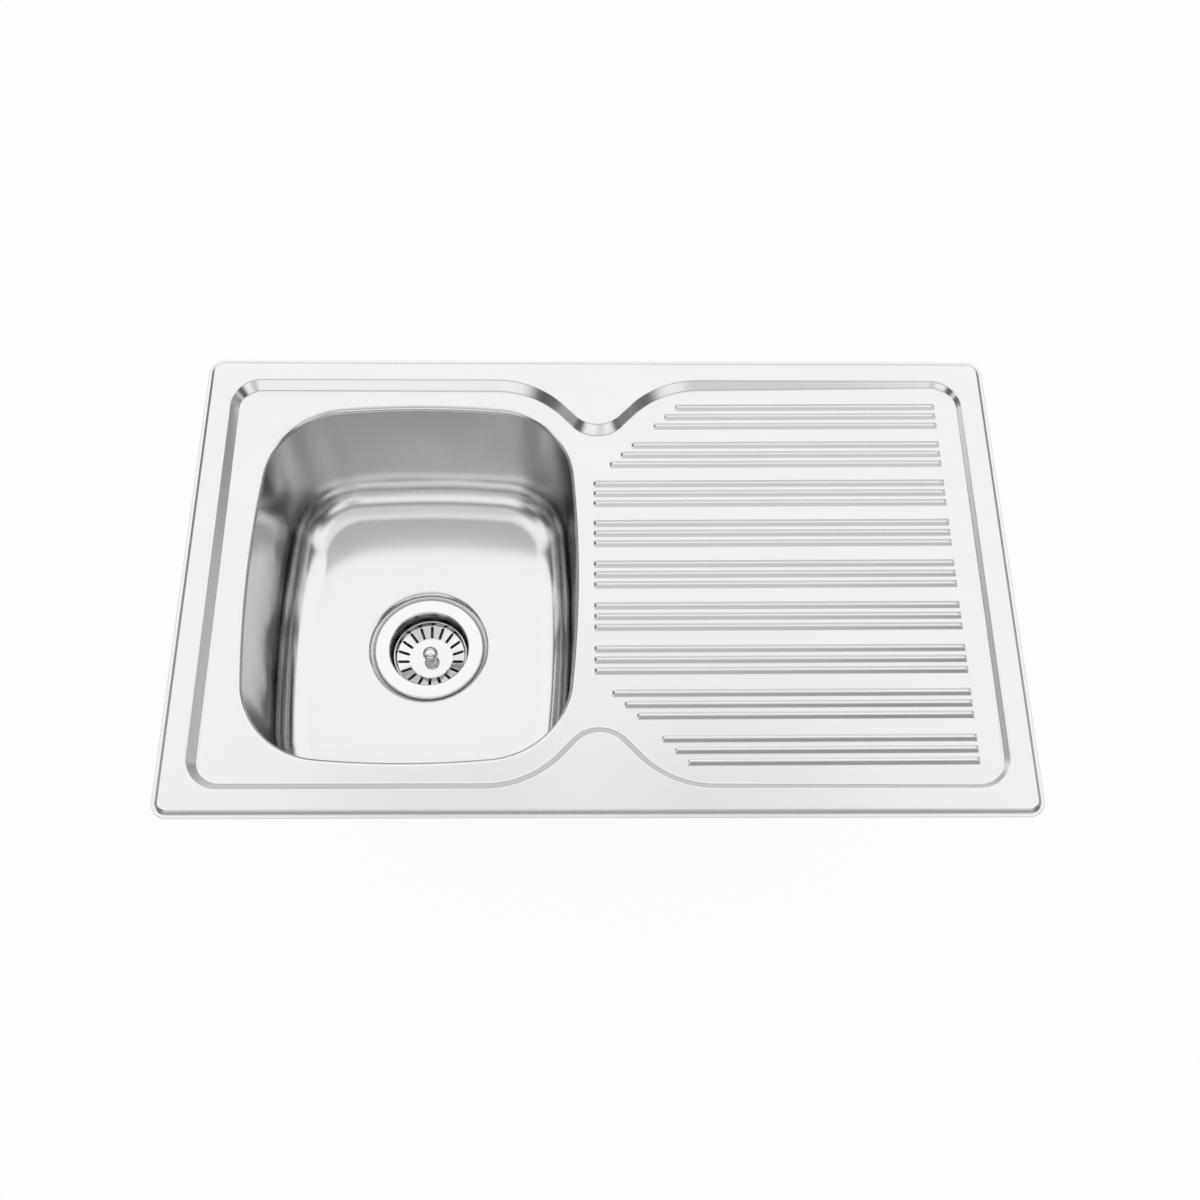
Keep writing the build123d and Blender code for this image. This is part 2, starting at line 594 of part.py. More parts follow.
# Waste body: moulded funnel with an outlet for a trap and a boss on three arms for the centre screw
with BuildPart() as waste_body:
    with BuildSketch(WASTE):
        with BuildLine():
            Polyline(
                (BODY_BORE, BODY_TOP),
                (BODY_RIM, BODY_TOP),
                (BODY_RIM, BODY_TOP - BODY_RIM_HEIGHT),
                (BODY_BORE + BODY_WALL, BODY_TOP - BODY_RIM_HEIGHT),
                (BODY_BORE + BODY_WALL, CONE_TOP),
                (OUTLET_RADIUS, CONE_BOTTOM),
                (OUTLET_RADIUS, CONE_BOTTOM - OUTLET_LENGTH),
                (OUTLET_BORE, CONE_BOTTOM - OUTLET_LENGTH),
                (OUTLET_BORE, CONE_BOTTOM),
                (BODY_BORE, CONE_TOP),
                close=True,
            )
        make_face()
    revolve(axis=WASTE_AXIS)
    with BuildSketch(Plane((BOWL_X, 0, BOSS_TOP))):
        with PolarLocations(OUTLET_BORE / 2, BOSS_ARMS):
            Rectangle(OUTLET_BORE + OUTLET_WALL, BOSS_ARM)
        Circle(BOSS_RADIUS)
        RegularPolygon(INSERT_FLATS / 2, 6, major_radius=False, mode=Mode.SUBTRACT)
    extrude(amount=-INSERT_LENGTH)
    with BuildSketch(Plane((BOWL_X, 0, INSERT_BOTTOM))):
        with PolarLocations(OUTLET_BORE / 2, BOSS_ARMS):
            Rectangle(OUTLET_BORE + OUTLET_WALL, BOSS_ARM)
        Circle(BOSS_RADIUS)
        Circle(CENTRE_SCREW_RADIUS + LOOSE, mode=Mode.SUBTRACT)
    extrude(amount=INSERT_LENGTH - BOSS_LENGTH)
save(waste_body, "waste_body")

# Brass thread insert in the boss
with BuildPart() as thread_insert:
    with BuildSketch(Plane((BOWL_X, 0, INSERT_BOTTOM))):
        RegularPolygon(INSERT_FLATS / 2, 6, major_radius=False)
        Circle(CENTRE_SCREW_RADIUS + RUNNING, mode=Mode.SUBTRACT)
    extrude(amount=INSERT_LENGTH)
save(thread_insert, "thread_insert")

# Centre screw: hollow, so that the basket's pin slides in it
with BuildPart() as centre_screw:
    screw_end = INSERT_BOTTOM + CENTRE_SCREW_END
    add(ring(PIN_RADIUS + RUNNING, CENTRE_SCREW_RADIUS, screw_end, HUB_Z))
    add(ring(PIN_RADIUS + RUNNING, CENTRE_SCREW_HEAD_RADIUS, HUB_Z, HUB_Z + CENTRE_SCREW_HEAD))
    with BuildSketch(Plane((BOWL_X, 0, HUB_Z + CENTRE_SCREW_HEAD))):
        Rectangle(2 * CENTRE_SCREW_HEAD_RADIUS, CENTRE_SCREW_SLOT)
    extrude(amount=-CENTRE_SCREW_HEAD / 2, mode=Mode.SUBTRACT)
save(centre_screw, "centre_screw")

# Strainer basket: flat floor, slotted shoulder, short wall and rolled rim
with BuildPart() as strainer_basket:
    rim_z = BASKET_Z + BASKET_RIM_RISE
    shoulder_z = BASKET_Z + BASKET_SHOULDER_RISE
    with BuildSketch(WASTE):
        with BuildLine():
            Polyline(
                (STUD_RADIUS + RUNNING, BASKET_Z),
                (BASKET_FLOOR, BASKET_Z),
                (BASKET_SHOULDER, shoulder_z),
                (BASKET_RIM, rim_z),
                (BASKET_RIM + BASKET_SHEET, rim_z),
                (BASKET_SHOULDER + BASKET_SHEET, shoulder_z - BASKET_SHEET),
                (BASKET_FLOOR, BASKET_UNDER),
                (STUD_RADIUS + RUNNING, BASKET_UNDER),
                close=True,
            )
        make_face()
        with Locations((BASKET_RIM + BASKET_SHEET, rim_z)):
            Circle(BASKET_BEAD)
    revolve(axis=WASTE_AXIS)
    with BuildSketch(Plane((BOWL_X, 0, BASKET_UNDER))):
        with PolarLocations(SLOT_START + SLOT_LENGTH / 2, SLOTS, start_angle=90):
            SlotOverall(SLOT_LENGTH, SLOT_WIDTH)
    extrude(amount=BASKET_SHOULDER_RISE + BASKET_SHEET, mode=Mode.SUBTRACT)
save(strainer_basket, "strainer_basket")

# Knob: turned mushroom on a neck, threaded on the pin's stud
with BuildPart() as basket_knob:
    knob_z = BASKET_Z + KNOB_CENTRE
    neck_top = knob_z - (KNOB_RADIUS**2 - KNOB_NECK**2) ** 0.5
    with BuildSketch(WASTE):
        with BuildLine():
            Polyline(
                (0, STUD_TOP),
                (STUD_RADIUS + RUNNING, STUD_TOP),
                (STUD_RADIUS + RUNNING, BASKET_Z),
                (KNOB_COLLAR, BASKET_Z),
                (KNOB_COLLAR, BASKET_Z + KNOB_COLLAR_HEIGHT),
                (KNOB_NECK, BASKET_Z + KNOB_COLLAR_HEIGHT + KNOB_COLLAR - KNOB_NECK),
                (KNOB_NECK, neck_top),
            )
            ThreePointArc((KNOB_NECK, neck_top), (KNOB_RADIUS, knob_z), (0, knob_z + KNOB_RADIUS))
            Line((0, knob_z + KNOB_RADIUS), (0, STUD_TOP))
        make_face()
    revolve(axis=WASTE_AXIS)
save(basket_knob, "basket_knob")

# Pin: stud into the knob, shoulder under the basket, groove for the retaining ring and a guide
with BuildPart() as basket_pin:
    with BuildSketch(WASTE):
        with BuildLine():
            Polyline(
                (0, STUD_TOP),
                (STUD_RADIUS, STUD_TOP),
                (STUD_RADIUS, BASKET_UNDER),
                (PIN_RADIUS, BASKET_UNDER),
                (PIN_RADIUS, RING_TOP),
                (GROOVE_RADIUS, RING_TOP),
                (GROOVE_RADIUS, RING_TOP - CLIP_RING),
                (PIN_RADIUS, RING_TOP - CLIP_RING),
                (PIN_RADIUS, BASKET_UNDER - PIN_LENGTH + PIN_RADIUS / 2),
                (PIN_RADIUS / 2, BASKET_UNDER - PIN_LENGTH),
                (0, BASKET_UNDER - PIN_LENGTH),
                close=True,
            )
        make_face()
    revolve(axis=WASTE_AXIS)
save(basket_pin, "basket_pin")

# Rubber stopper under the basket, which closes the seat's hole
with BuildPart() as stopper_seal:
    add(ring(PIN_RADIUS + RUNNING, SEAL_RADIUS, CUP_Z, BASKET_UNDER))
    chamfer(level(stopper_seal, BASKET_UNDER).outer_wire().edges(), SEAL_BEVEL)
save(stopper_seal, "stopper_seal")

# Washer that clamps the stopper, held by the retaining ring in the pin's groove
with BuildPart() as seal_washer:
    add(ring(PIN_RADIUS + RUNNING, SEAL_WASHER_RADIUS, RING_TOP, CUP_Z))
save(seal_washer, "seal_washer")

with BuildPart() as retaining_ring:
    add(ring(GROOVE_RADIUS + RUNNING, CLIP_RING_RADIUS, RING_TOP - CLIP_RING, RING_TOP))
    with BuildSketch(Plane((BOWL_X, 0, RING_TOP))):
        with Locations((CLIP_RING_RADIUS, 0)):
            Rectangle(2 * CLIP_RING_RADIUS, 2 * GROOVE_RADIUS)
    extrude(amount=-CLIP_RING, mode=Mode.SUBTRACT)
save(retaining_ring, "retaining_ring")
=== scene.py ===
# %% [markdown]
# # A stainless steel sink with a ribbed drainer
# The CAD model gives every piece its place and size. This lesson dresses it for a studio picture: the two
# large pressings and the pieces of the waste that show are built again as smooth surfaces, because metal
# shows every facet in its reflections, and all pieces get finishes made from shader nodes. Lengths are in
# millimetres until they go into a mesh.

# %% Load the frame
import json

import bmesh
import bpy
import numpy as np
from mathutils import Matrix, Vector
from mathutils.geometry import delaunay_2d_cdt


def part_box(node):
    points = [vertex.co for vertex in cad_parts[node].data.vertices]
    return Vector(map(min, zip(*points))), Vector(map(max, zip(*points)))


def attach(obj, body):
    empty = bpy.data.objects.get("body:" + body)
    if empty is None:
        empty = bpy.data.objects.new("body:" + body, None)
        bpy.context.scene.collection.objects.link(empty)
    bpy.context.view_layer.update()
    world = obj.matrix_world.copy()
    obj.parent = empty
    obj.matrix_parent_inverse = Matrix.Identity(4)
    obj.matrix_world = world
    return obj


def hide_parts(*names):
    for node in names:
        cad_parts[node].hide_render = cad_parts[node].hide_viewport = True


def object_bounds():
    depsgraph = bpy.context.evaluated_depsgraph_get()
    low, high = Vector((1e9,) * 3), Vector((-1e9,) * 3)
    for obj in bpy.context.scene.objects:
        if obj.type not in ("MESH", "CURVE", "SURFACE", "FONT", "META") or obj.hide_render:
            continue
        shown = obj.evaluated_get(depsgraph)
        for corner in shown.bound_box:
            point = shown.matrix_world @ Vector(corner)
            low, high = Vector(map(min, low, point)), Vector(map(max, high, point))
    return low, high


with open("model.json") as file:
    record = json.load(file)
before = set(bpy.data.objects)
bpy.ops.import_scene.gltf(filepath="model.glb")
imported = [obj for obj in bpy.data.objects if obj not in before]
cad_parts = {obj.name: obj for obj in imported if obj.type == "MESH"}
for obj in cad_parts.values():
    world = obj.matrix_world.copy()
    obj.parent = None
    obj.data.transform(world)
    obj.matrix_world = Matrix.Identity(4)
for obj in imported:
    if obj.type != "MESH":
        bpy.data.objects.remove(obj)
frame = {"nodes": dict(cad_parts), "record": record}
cad_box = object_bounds()
MM = 0.001

# %% [markdown]
# ## The sheet
# Deck and bowl of such a sink are pressed from one thickness of sheet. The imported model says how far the
# deck reaches, how high its ledge lies and how deep its weld to the bowl is. The other sizes stand beside
# the step that uses them first.

# %% Reach of the deck
SHEET = 0.8
deck_low, deck_high = (np.array(corner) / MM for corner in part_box("deck"))
HALF_X, HALF_Y, LEDGE_Z = deck_high
WELD_Z = deck_low[2]
print(f"deck reaches {HALF_X:.1f}, {HALF_Y:.1f}, ledge at {LEDGE_Z:.1f}, weld at {WELD_Z:.1f}")

# %% [markdown]
# ## Outlines
# Every edge of the sink runs along arcs joined by straight lines. Curve objects could hold such outlines,
# but here each one is two arrays: its points and, at each point, the direction into the shape. A pressed
# edge is then a profile carried along the outline: a profile point at distance d inside and height z sits
# at point + d * inward. All outlines of this sink look the same after half a turn, so half of each is
# enough. The first is the outer edge, an oblong with round corners.

# %% Outline of the rim
RIGHT_ANGLE = np.pi / 2
SAME_PLACE = 1e-6
OUTER_CORNER = 15.0


def arc(centre, radius, start, end, count, hollow=False):
    """Points of an arc, centre + radius * (cos a, sin a), and the direction into the shape beside it.

    The direction points to the centre, or away from it where the outline is hollow there.
    """
    angle = np.linspace(start, end, count)
    ray = np.stack([np.cos(angle), np.sin(angle)], 1)
    return np.array(centre) + radius * ray, ray if hollow else -ray


def outline(*arcs):
    """Arcs of half an outline, then the same arcs turned by half a turn, as points and inward directions.

    Where two arcs touch, one of the two points stays.
    """
    points = np.concatenate([points for points, inward in arcs])
    inward = np.concatenate([inward for points, inward in arcs])
    points = np.concatenate([points, -points])
    inward = np.concatenate([inward, -inward])
    apart = np.linalg.norm(points - np.roll(points, 1, 0), axis=1) > SAME_PLACE
    return points[apart], inward[apart]


corner = np.array([HALF_X, HALF_Y]) - OUTER_CORNER
rim_edge = outline(
    arc(corner, OUTER_CORNER, 0, RIGHT_ANGLE, count=16),
    arc(corner * (-1, 1), OUTER_CORNER, RIGHT_ANGLE, 2 * RIGHT_ANGLE, count=16),
)
print("rim outline:", len(rim_edge[0]), "points")

# %% [markdown]
# The tray's edge is an oblong too, but in the middle of both long sides the ledge runs out into a tongue: a
# wide shoulder arc, a straight flank, the arc of the tip, and the same back again. At the tip the outline
# bends the other way, so it is hollow there.

# %% Outline of the tray
LEDGE = 25.6  # outer edge to the edge of the tray
TRAY_CORNER = 30.0
TONGUE_REACH = 52.4
TONGUE_TIP = 27.0
TONGUE_SHOULDER = 95.0
TONGUE_FLANK = np.radians(47.0)  # slope of its straight sides
TRAY_X = HALF_X - LEDGE
TRAY_Y = HALF_Y - LEDGE
TIP_Y = TRAY_Y - TONGUE_REACH
arcs = TONGUE_TIP + TONGUE_SHOULDER
flank = (TONGUE_REACH - arcs * (1 - np.cos(TONGUE_FLANK))) / np.sin(TONGUE_FLANK)
run = arcs * np.sin(TONGUE_FLANK) + flank * np.cos(TONGUE_FLANK)
corner = np.array([TRAY_X, TRAY_Y]) - TRAY_CORNER
shoulder = np.array([run, TRAY_Y - TONGUE_SHOULDER])
tip = np.array([0, TIP_Y + TONGUE_TIP])
tray_edge = outline(
    arc(corner, TRAY_CORNER, 0, RIGHT_ANGLE, count=18),
    arc(shoulder, TONGUE_SHOULDER, RIGHT_ANGLE, RIGHT_ANGLE + TONGUE_FLANK, count=30),
    arc(tip, TONGUE_TIP, TONGUE_FLANK - RIGHT_ANGLE, -TONGUE_FLANK - RIGHT_ANGLE, count=40, hollow=True),
    arc(shoulder * (-1, 1), TONGUE_SHOULDER, RIGHT_ANGLE - TONGUE_FLANK, RIGHT_ANGLE, count=30),
    arc(corner * (-1, 1), TRAY_CORNER, RIGHT_ANGLE, 2 * RIGHT_ANGLE, count=18),
)
print(f"tray outline: {len(tray_edge[0])} points, tongues {2 * run:.1f} wide")

# %% [markdown]
# The bowl's mouth has four long flat arcs with a tighter arc at each corner, which gives the slightly
# bulging sides of a drawn bowl. A corner arc touches its side arc and its end arc, so its centre closes a
# triangle with theirs, and the law of cosines says where the arcs meet.

# %% Outline of the bowl's mouth
BOWL_HALF_X = 159.5  # middle of the bowl to the start of its lip
BOWL_END_MARGIN = 29.4  # tray edge to the lip, at the end of the tray
BOWL_SIDE_MARGIN = 23.4  # the same, before and behind the bowl
BOWL_HALF_Y = TRAY_Y - BOWL_SIDE_MARGIN
BOWL_X = BOWL_END_MARGIN + BOWL_HALF_X - TRAY_X
SIDE_ARC = 1200.0
END_ARC = 850.0
BOWL_CORNER = 84.0
side_x = SIDE_ARC - BOWL_HALF_X
end_y = END_ARC - BOWL_HALF_Y
to_side = SIDE_ARC - BOWL_CORNER
to_end = END_ARC - BOWL_CORNER
between = np.hypot(side_x, end_y)
at_side = np.arccos((between**2 + to_side**2 - to_end**2) / (2 * between * to_side))
side_turn = at_side - np.arctan2(end_y, side_x)
corner = to_side * np.array([np.cos(side_turn), np.sin(side_turn)]) - (side_x, 0)
end_turn = np.arctan2(corner[1] + end_y, corner[0])
mouth, mouth_inward = outline(
    arc((-side_x, 0), SIDE_ARC, -side_turn, side_turn, count=24),
    arc(corner, BOWL_CORNER, side_turn, end_turn, count=40),
    arc((0, -end_y), END_ARC, end_turn, np.pi - end_turn, count=24),
    arc(corner * (-1, 1), BOWL_CORNER, np.pi - end_turn, np.pi - side_turn, count=40),
)
mouth = mouth + (BOWL_X, 0)
bowl_edge = (mouth, mouth_inward)
print(f"bowl's middle at {BOWL_X:.1f}, mouth {2 * BOWL_HALF_X:.1f} by {2 * BOWL_HALF_Y:.1f}")

# %% [markdown]
# ## The rim
# A flat band lies on the worktop, a leaning step rises from it, and the ledge lies on top. Such a pressed
# profile is a few straight runs with a round at every bend. A Bevel modifier could round the bends, but
# working out the arcs gives exact normals too, so that a round looks smooth however few points it has.

# %% Profile of the rim
RIM_BAND = 3.2
RIM_LEAN = np.radians(36.0)
RIM_CROWN = 2.0
RIM_FOOT = 0.8
LEDGE_START = 12.0


def rounded(bends, radii, steps=8):
    """Profile through bends, where inner bend i is replaced by an arc of radii[i] that touches both runs.

    Returns places (d, z) and normals. A run in direction (a, b) has the normal (-b, a).
    """
    bends = np.array(bends, float)
    runs = np.diff(bends, axis=0)
    runs /= np.linalg.norm(runs, axis=1)[:, None]
    normals = np.stack([-runs[:, 1], runs[:, 0]], 1)
    share = np.linspace(0, 1, steps + 1)[:, None]
    places = [bends[:1]]
    faces = [normals[:1]]
    for bend, radius, before, after, into in zip(bends[1:-1], radii, normals, normals[1:], runs):
        turn = np.arctan2(before[0] * after[1] - before[1] * after[0], before @ after)
        fan = (np.sin((1 - share) * turn) * before + np.sin(share * turn) * after) / np.sin(turn)
        start = bend - into * radius * np.tan(abs(turn) / 2)
        centre = start + np.sign(turn) * radius * before
        places.append(centre - np.sign(turn) * radius * fan)
        faces.append(fan)
    return np.concatenate(places + [bends[-1:]]), np.concatenate(faces + [normals[-1:]])


step_run = (LEDGE_Z - SHEET) * np.tan(RIM_LEAN)
rim_profile = rounded(
    [
        (SHEET / 2, SHEET),
        (RIM_BAND, SHEET),
        (RIM_BAND + step_run, LEDGE_Z),
        (LEDGE_START, LEDGE_Z),
    ],
    [RIM_FOOT, RIM_CROWN],
)
print(f"rim profile: {len(rim_profile[0])} points, step {step_run:.2f} wide")

# %% [markdown]
# Carried along the outer edge, the profile becomes a grid of points, with one row for each point of the
# outline and one column for each point of the profile. A curve with a bevel profile would do the same, but
# it can't change its profile on the way, as the tray's wall will have to.


# %% Surface of the rim
def carried(edge, places, normals):
    """Surface of a profile carried along a closed outline: (point + d * inward, z), with its normals.

    places and normals hold (d, z) for each profile point, and may differ at each outline point.
    """
    points, inward = edge
    places = np.broadcast_to(places, (len(points),) + places.shape[-2:])
    normals = np.broadcast_to(normals, places.shape)
    flat = points[:, None] + places[..., :1] * inward[:, None]
    lean = normals[..., :1] * inward[:, None]
    return np.dstack([flat, places[..., 1]]), np.dstack([lean, normals[..., 1]])


rim, rim_faces = carried(rim_edge, *rim_profile)
print("rim grid:", rim.shape[:2])

# %% [markdown]
# ## Patches
# A pressing is collected as patches of its upper face. Strips with a profile are grids. The flats between
# them have odd outlines and holes, so they are cut out in plan: a Delaunay triangulation keeps every
# outline as edges, and the triangles inside are lifted onto the surface. Boolean cuts are the other way,
# but they leave slivers, which metal shows.

# %% Patches of a surface
WITHIN_OUTLINES = 1  # the kind of triangulation that stays inside the outlines


def lifted(plan, surface):
    """Points over a plan at surface height z, and their unit normals along (-dz/dx, -dz/dy, 1)."""
    x, y = plan[:, :2].T
    z, slope_x, slope_y = surface(x, y)
    normals = np.stack([-slope_x, -slope_y, 0 * x + 1], 1)
    return np.stack([x, y, z], 1), normals / np.linalg.norm(normals, axis=1)[:, None]


class Patches:
    """Points, normals and faces of a surface, collected patch by patch."""

    def __init__(self):
        self.points, self.normals, self.quads, self.triangles = [], [], [], []
        self.count = 0

    def keep(self, points, normals):
        """Store points with their normals and return the number of the first one."""
        first = self.count
        self.points.append(points.reshape(-1, 3))
        self.normals.append(normals.reshape(-1, 3))
        self.count += len(self.points[-1])
        return first

    def grid(self, points, normals, closed=True):
        """Faces between neighbouring points of a grid, joined round its first axis if closed."""
        rows, columns = points.shape[:2]
        number = self.keep(points, normals) + np.arange(rows * columns).reshape(rows, columns)
        if closed:
            number = np.concatenate([number, number[:1]])
        a, b, c, d = number[:-1, :-1], number[1:, :-1], number[1:, 1:], number[:-1, 1:]
        self.quads.append(np.stack([a, b, c, d], -1).reshape(-1, 4))

    def cut_out(self, loops, surface):
        """Face between an outer loop and the loops of its holes, cut out in plan and lifted onto a surface.

        A triangle is inside where a ray from its middle crosses the loops an odd number of times.
        """
        plan = np.concatenate([loop[:, :2] for loop in loops])
        sizes = [len(loop) for loop in loops]
        ends = np.cumsum(sizes)
        following = np.arange(len(plan)) + 1
        following[ends - 1] = ends - sizes
        edges = np.stack([np.arange(len(plan)), following], 1).tolist()
        corners = list(map(Vector, plan.tolist()))
        found = delaunay_2d_cdt(corners, edges, [], WITHIN_OUTLINES, SAME_PLACE)
        triangles = np.array(found[2])
        x, y = plan[triangles].mean(1).T[..., None]
        (x0, y0), (x1, y1) = plan.T, plan[following].T
        spans = (y0 > y) != (y1 > y)
        with np.errstate(divide="ignore", invalid="ignore"):
            crosses = spans & (x < x0 + (y - y0) / (y1 - y0) * (x1 - x0))
        inside = crosses.sum(1) % 2 == 1
        self.triangles.append(self.keep(*lifted(plan, surface)) + triangles[inside])

    def joined(self):
        """All points, unit normals, quads and triangles as single arrays."""
        normals = np.concatenate(self.normals)
        normals /= np.linalg.norm(normals, axis=1)[:, None]
        quads = np.concatenate(self.quads)
        triangles = np.concatenate(self.triangles + [np.empty((0, 3), int)]).astype(int)
        return np.concatenate(self.points), normals, quads, triangles


deck = Patches()
deck.grid(rim, rim_faces)
print("deck so far:", deck.count, "points")

# %% [markdown]
# ## The tray
# The tray's floor is level round the bowl and rises along the drainer, so that water runs back. Its height
# depends on x alone: two straight lines with a soft bend between them, worked out as a formula, because
# wall, beads and floor all need it at their own points.

# %% Height of the tray floor
TRAY_DEPTH = 9.5
TRAY_Z = LEDGE_Z - TRAY_DEPTH
DRAINER_BREAK = 6.0  # bowl lip to the start of the slope
DRAINER_FALL = 3.9  # height that the drainer loses on its way to the bowl
BREAK_RUN = 4.7  # half the length of the soft bend
BREAK_X = BOWL_X + BOWL_HALF_X + DRAINER_BREAK
DRAINER_RISE = DRAINER_FALL / (TRAY_X - BREAK_X)


def floor_slope(x):
    """Slope of the tray floor: 0 before the bend, DRAINER_RISE after it, and even in between."""
    return DRAINER_RISE * np.clip((x - BREAK_X + BREAK_RUN) / (2 * BREAK_RUN), 0, 1)


def floor_height(x):
    """Height of the tray floor, the slope added up along x."""
    bend = np.clip(x - BREAK_X + BREAK_RUN, 0, 2 * BREAK_RUN)
    return TRAY_Z + DRAINER_RISE * (bend**2 / (4 * BREAK_RUN) + np.maximum(x - BREAK_X - BREAK_RUN, 0))


print(f"tray floor at {TRAY_Z:.2f}, rising to {floor_height(TRAY_X):.2f}")

# %% [markdown]
# The wall leads from the ledge down to that floor. Its foot follows the floor, so the wall gets shorter
# along the drainer: the lower half of the profile slides up the wall's lean by as much as the floor has
# risen there. The foot's own place changes with that, and three rounds are enough to settle it.

# %% Tray wall
TRAY_LEAN = np.radians(40.0)
TRAY_CROWN = 2.5
TRAY_FOOT = 3.0
WALL_MARGIN = 3.0  # flat strip above and below the wall
wall_run = TRAY_DEPTH * np.tan(TRAY_LEAN)
wall_places, wall_normals = rounded(
    [
        (-WALL_MARGIN, LEDGE_Z),
        (0, LEDGE_Z),
        (wall_run, TRAY_Z),
        (wall_run + WALL_MARGIN, TRAY_Z),
    ],
    [TRAY_CROWN, TRAY_FOOT],
)
at_foot = np.arange(len(wall_places)) >= len(wall_places) // 2
edge_points, edge_inward = tray_edge
risen = np.zeros(len(edge_points))
for _ in range(3):
    foot_x = edge_points[:, 0] + (wall_places[-1, 0] - risen * np.tan(TRAY_LEAN)) * edge_inward[:, 0]
    risen = floor_height(foot_x) - TRAY_Z
moved = risen[:, None, None] * np.array([-np.tan(TRAY_LEAN), 1]) * at_foot[:, None]
wall, wall_faces = carried(tray_edge, wall_places + moved, wall_normals)
wall[:, at_foot, 2] += (floor_height(wall[..., 0]) - floor_height(foot_x)[:, None])[:, at_foot]
leaning = wall_normals[at_foot][0, 1]
level = at_foot * (wall_normals[:, 1] - leaning) / (1 - leaning)
wall_faces[..., 0] -= level * floor_slope(wall[..., 0])
deck.grid(wall, wall_faces)
print(f"tray wall is lower by up to {risen.max():.2f}")

# %% [markdown]
# The ledge between rim and tray is the simplest cut-out: level, with the rim's inner edge as its outline
# and the wall's upper edge as its hole.


# %% Ledge
def ledge_level(x, y):
    """The ledge's height, LEDGE_Z everywhere, and its two slopes, which are 0."""
    return 0 * x + LEDGE_Z, 0 * x, 0 * x


deck.cut_out([rim[:, -1], wall[:, 0]], ledge_level)
print("deck with its ledge:", deck.count, "points")

# %% [markdown]
# Round the bowl's mouth the tray turns down in a lip. Its profile is a quarter round, less the draft that
# the bowl's wall leans by, and a short straight run to the weld.

# %% Lip
LIP = 5.0
LIP_STEPS = 11
DRAFT = np.radians(2.5)
lip_turn = np.linspace(0, RIGHT_ANGLE - DRAFT, LIP_STEPS)
lip_normals = np.stack([np.sin(lip_turn), np.cos(lip_turn)], 1)
lip_places = LIP * lip_normals + (0, TRAY_Z - LIP)
weld_place = lip_places[-1] + (lip_places[-1, 1] - WELD_Z) * np.array([np.tan(DRAFT), -1])
lip, lip_faces = carried(
    bowl_edge,
    np.concatenate([lip_places, [weld_place]]),
    np.concatenate([lip_normals, lip_normals[-1:]]),
)
deck.grid(lip, lip_faces)
print("lip ends at", weld_place.round(2))

# %% [markdown]
# ## The beads
# The drainer's beads stiffen the sheet and carry the dishes. Each is a low bar with leaning flanks, a soft
# foot and nearly square ends. They could be modelled as bars and joined to the sheet, but a bead's height
# depends only on a distance from its middle line, so one small grid gives the whole bead and its normals.

# %% Section of a bead
BEAD_HEIGHT = 1.8
BEAD_TOP = 2.2  # radius over the top of a bead
BEAD_FOOT = 1.2  # radius where it leaves the floor
BEAD_LEAN = np.radians(28.0)  # slope of its flanks
BEAD_FLANK = (BEAD_HEIGHT - (BEAD_TOP + BEAD_FOOT) * (1 - np.cos(BEAD_LEAN))) / np.tan(BEAD_LEAN)
BEAD_REACH = (BEAD_TOP + BEAD_FOOT) * np.sin(BEAD_LEAN) + BEAD_FLANK


def bead_height(r):
    """Height at distance r: an arc of BEAD_TOP over the middle, a straight flank, an arc of BEAD_FOOT.

    Returns the height and its slope. The arcs end where their slope is that of the flank.
    """
    change = BEAD_TOP * np.sin(BEAD_LEAN)
    over = np.minimum(r, change)
    left = np.clip(BEAD_REACH - r, 0, BEAD_FOOT * np.sin(BEAD_LEAN))
    flank = np.clip(r - change, 0, BEAD_FLANK)
    crown = np.sqrt(BEAD_TOP**2 - over**2)
    hollow = np.sqrt(BEAD_FOOT**2 - left**2)
    top = BEAD_HEIGHT - BEAD_TOP + crown - flank * np.tan(BEAD_LEAN)
    on_foot = r > change + BEAD_FLANK
    return np.where(on_foot, BEAD_FOOT - hollow, top), -np.where(on_foot, left / hollow, over / crown)


print(f"a bead reaches {BEAD_REACH:.2f} from its middle line")

# %% [markdown]
# The beads stand in nine groups of three. Beside the tongues each bead starts later than the one before, to
# leave the tongue its room. The tray's floor is then cut out round all of them.

# %% Beads and tray floor
END_STEEP = 1.2  # how much steeper the ends are than the sides
SQUARENESS = 8  # 2 would give round ends
BEAD_MARGIN = 0.15  # flat border of a bead's grid
BEAD_SEEN = 3.6  # half width up to where the soft foot still shows
END_STEPS = 15
SIDE_STEPS = 29
ROWS = (-1, 0, 1)  # the beads of a group, counted from its middle
GROUPS = range(-4, 5)
BEAD_PITCH = 11.0
GROUP_PITCH = 44.0
BEAD_START = 6.0  # start of the slope to the long beads
BEAD_STOP = 26.4  # end of the beads to the tray edge
TONGUE_ROOM = 53.0  # room between the short beads and a tongue's tip
NOT_ZERO = 1e-3


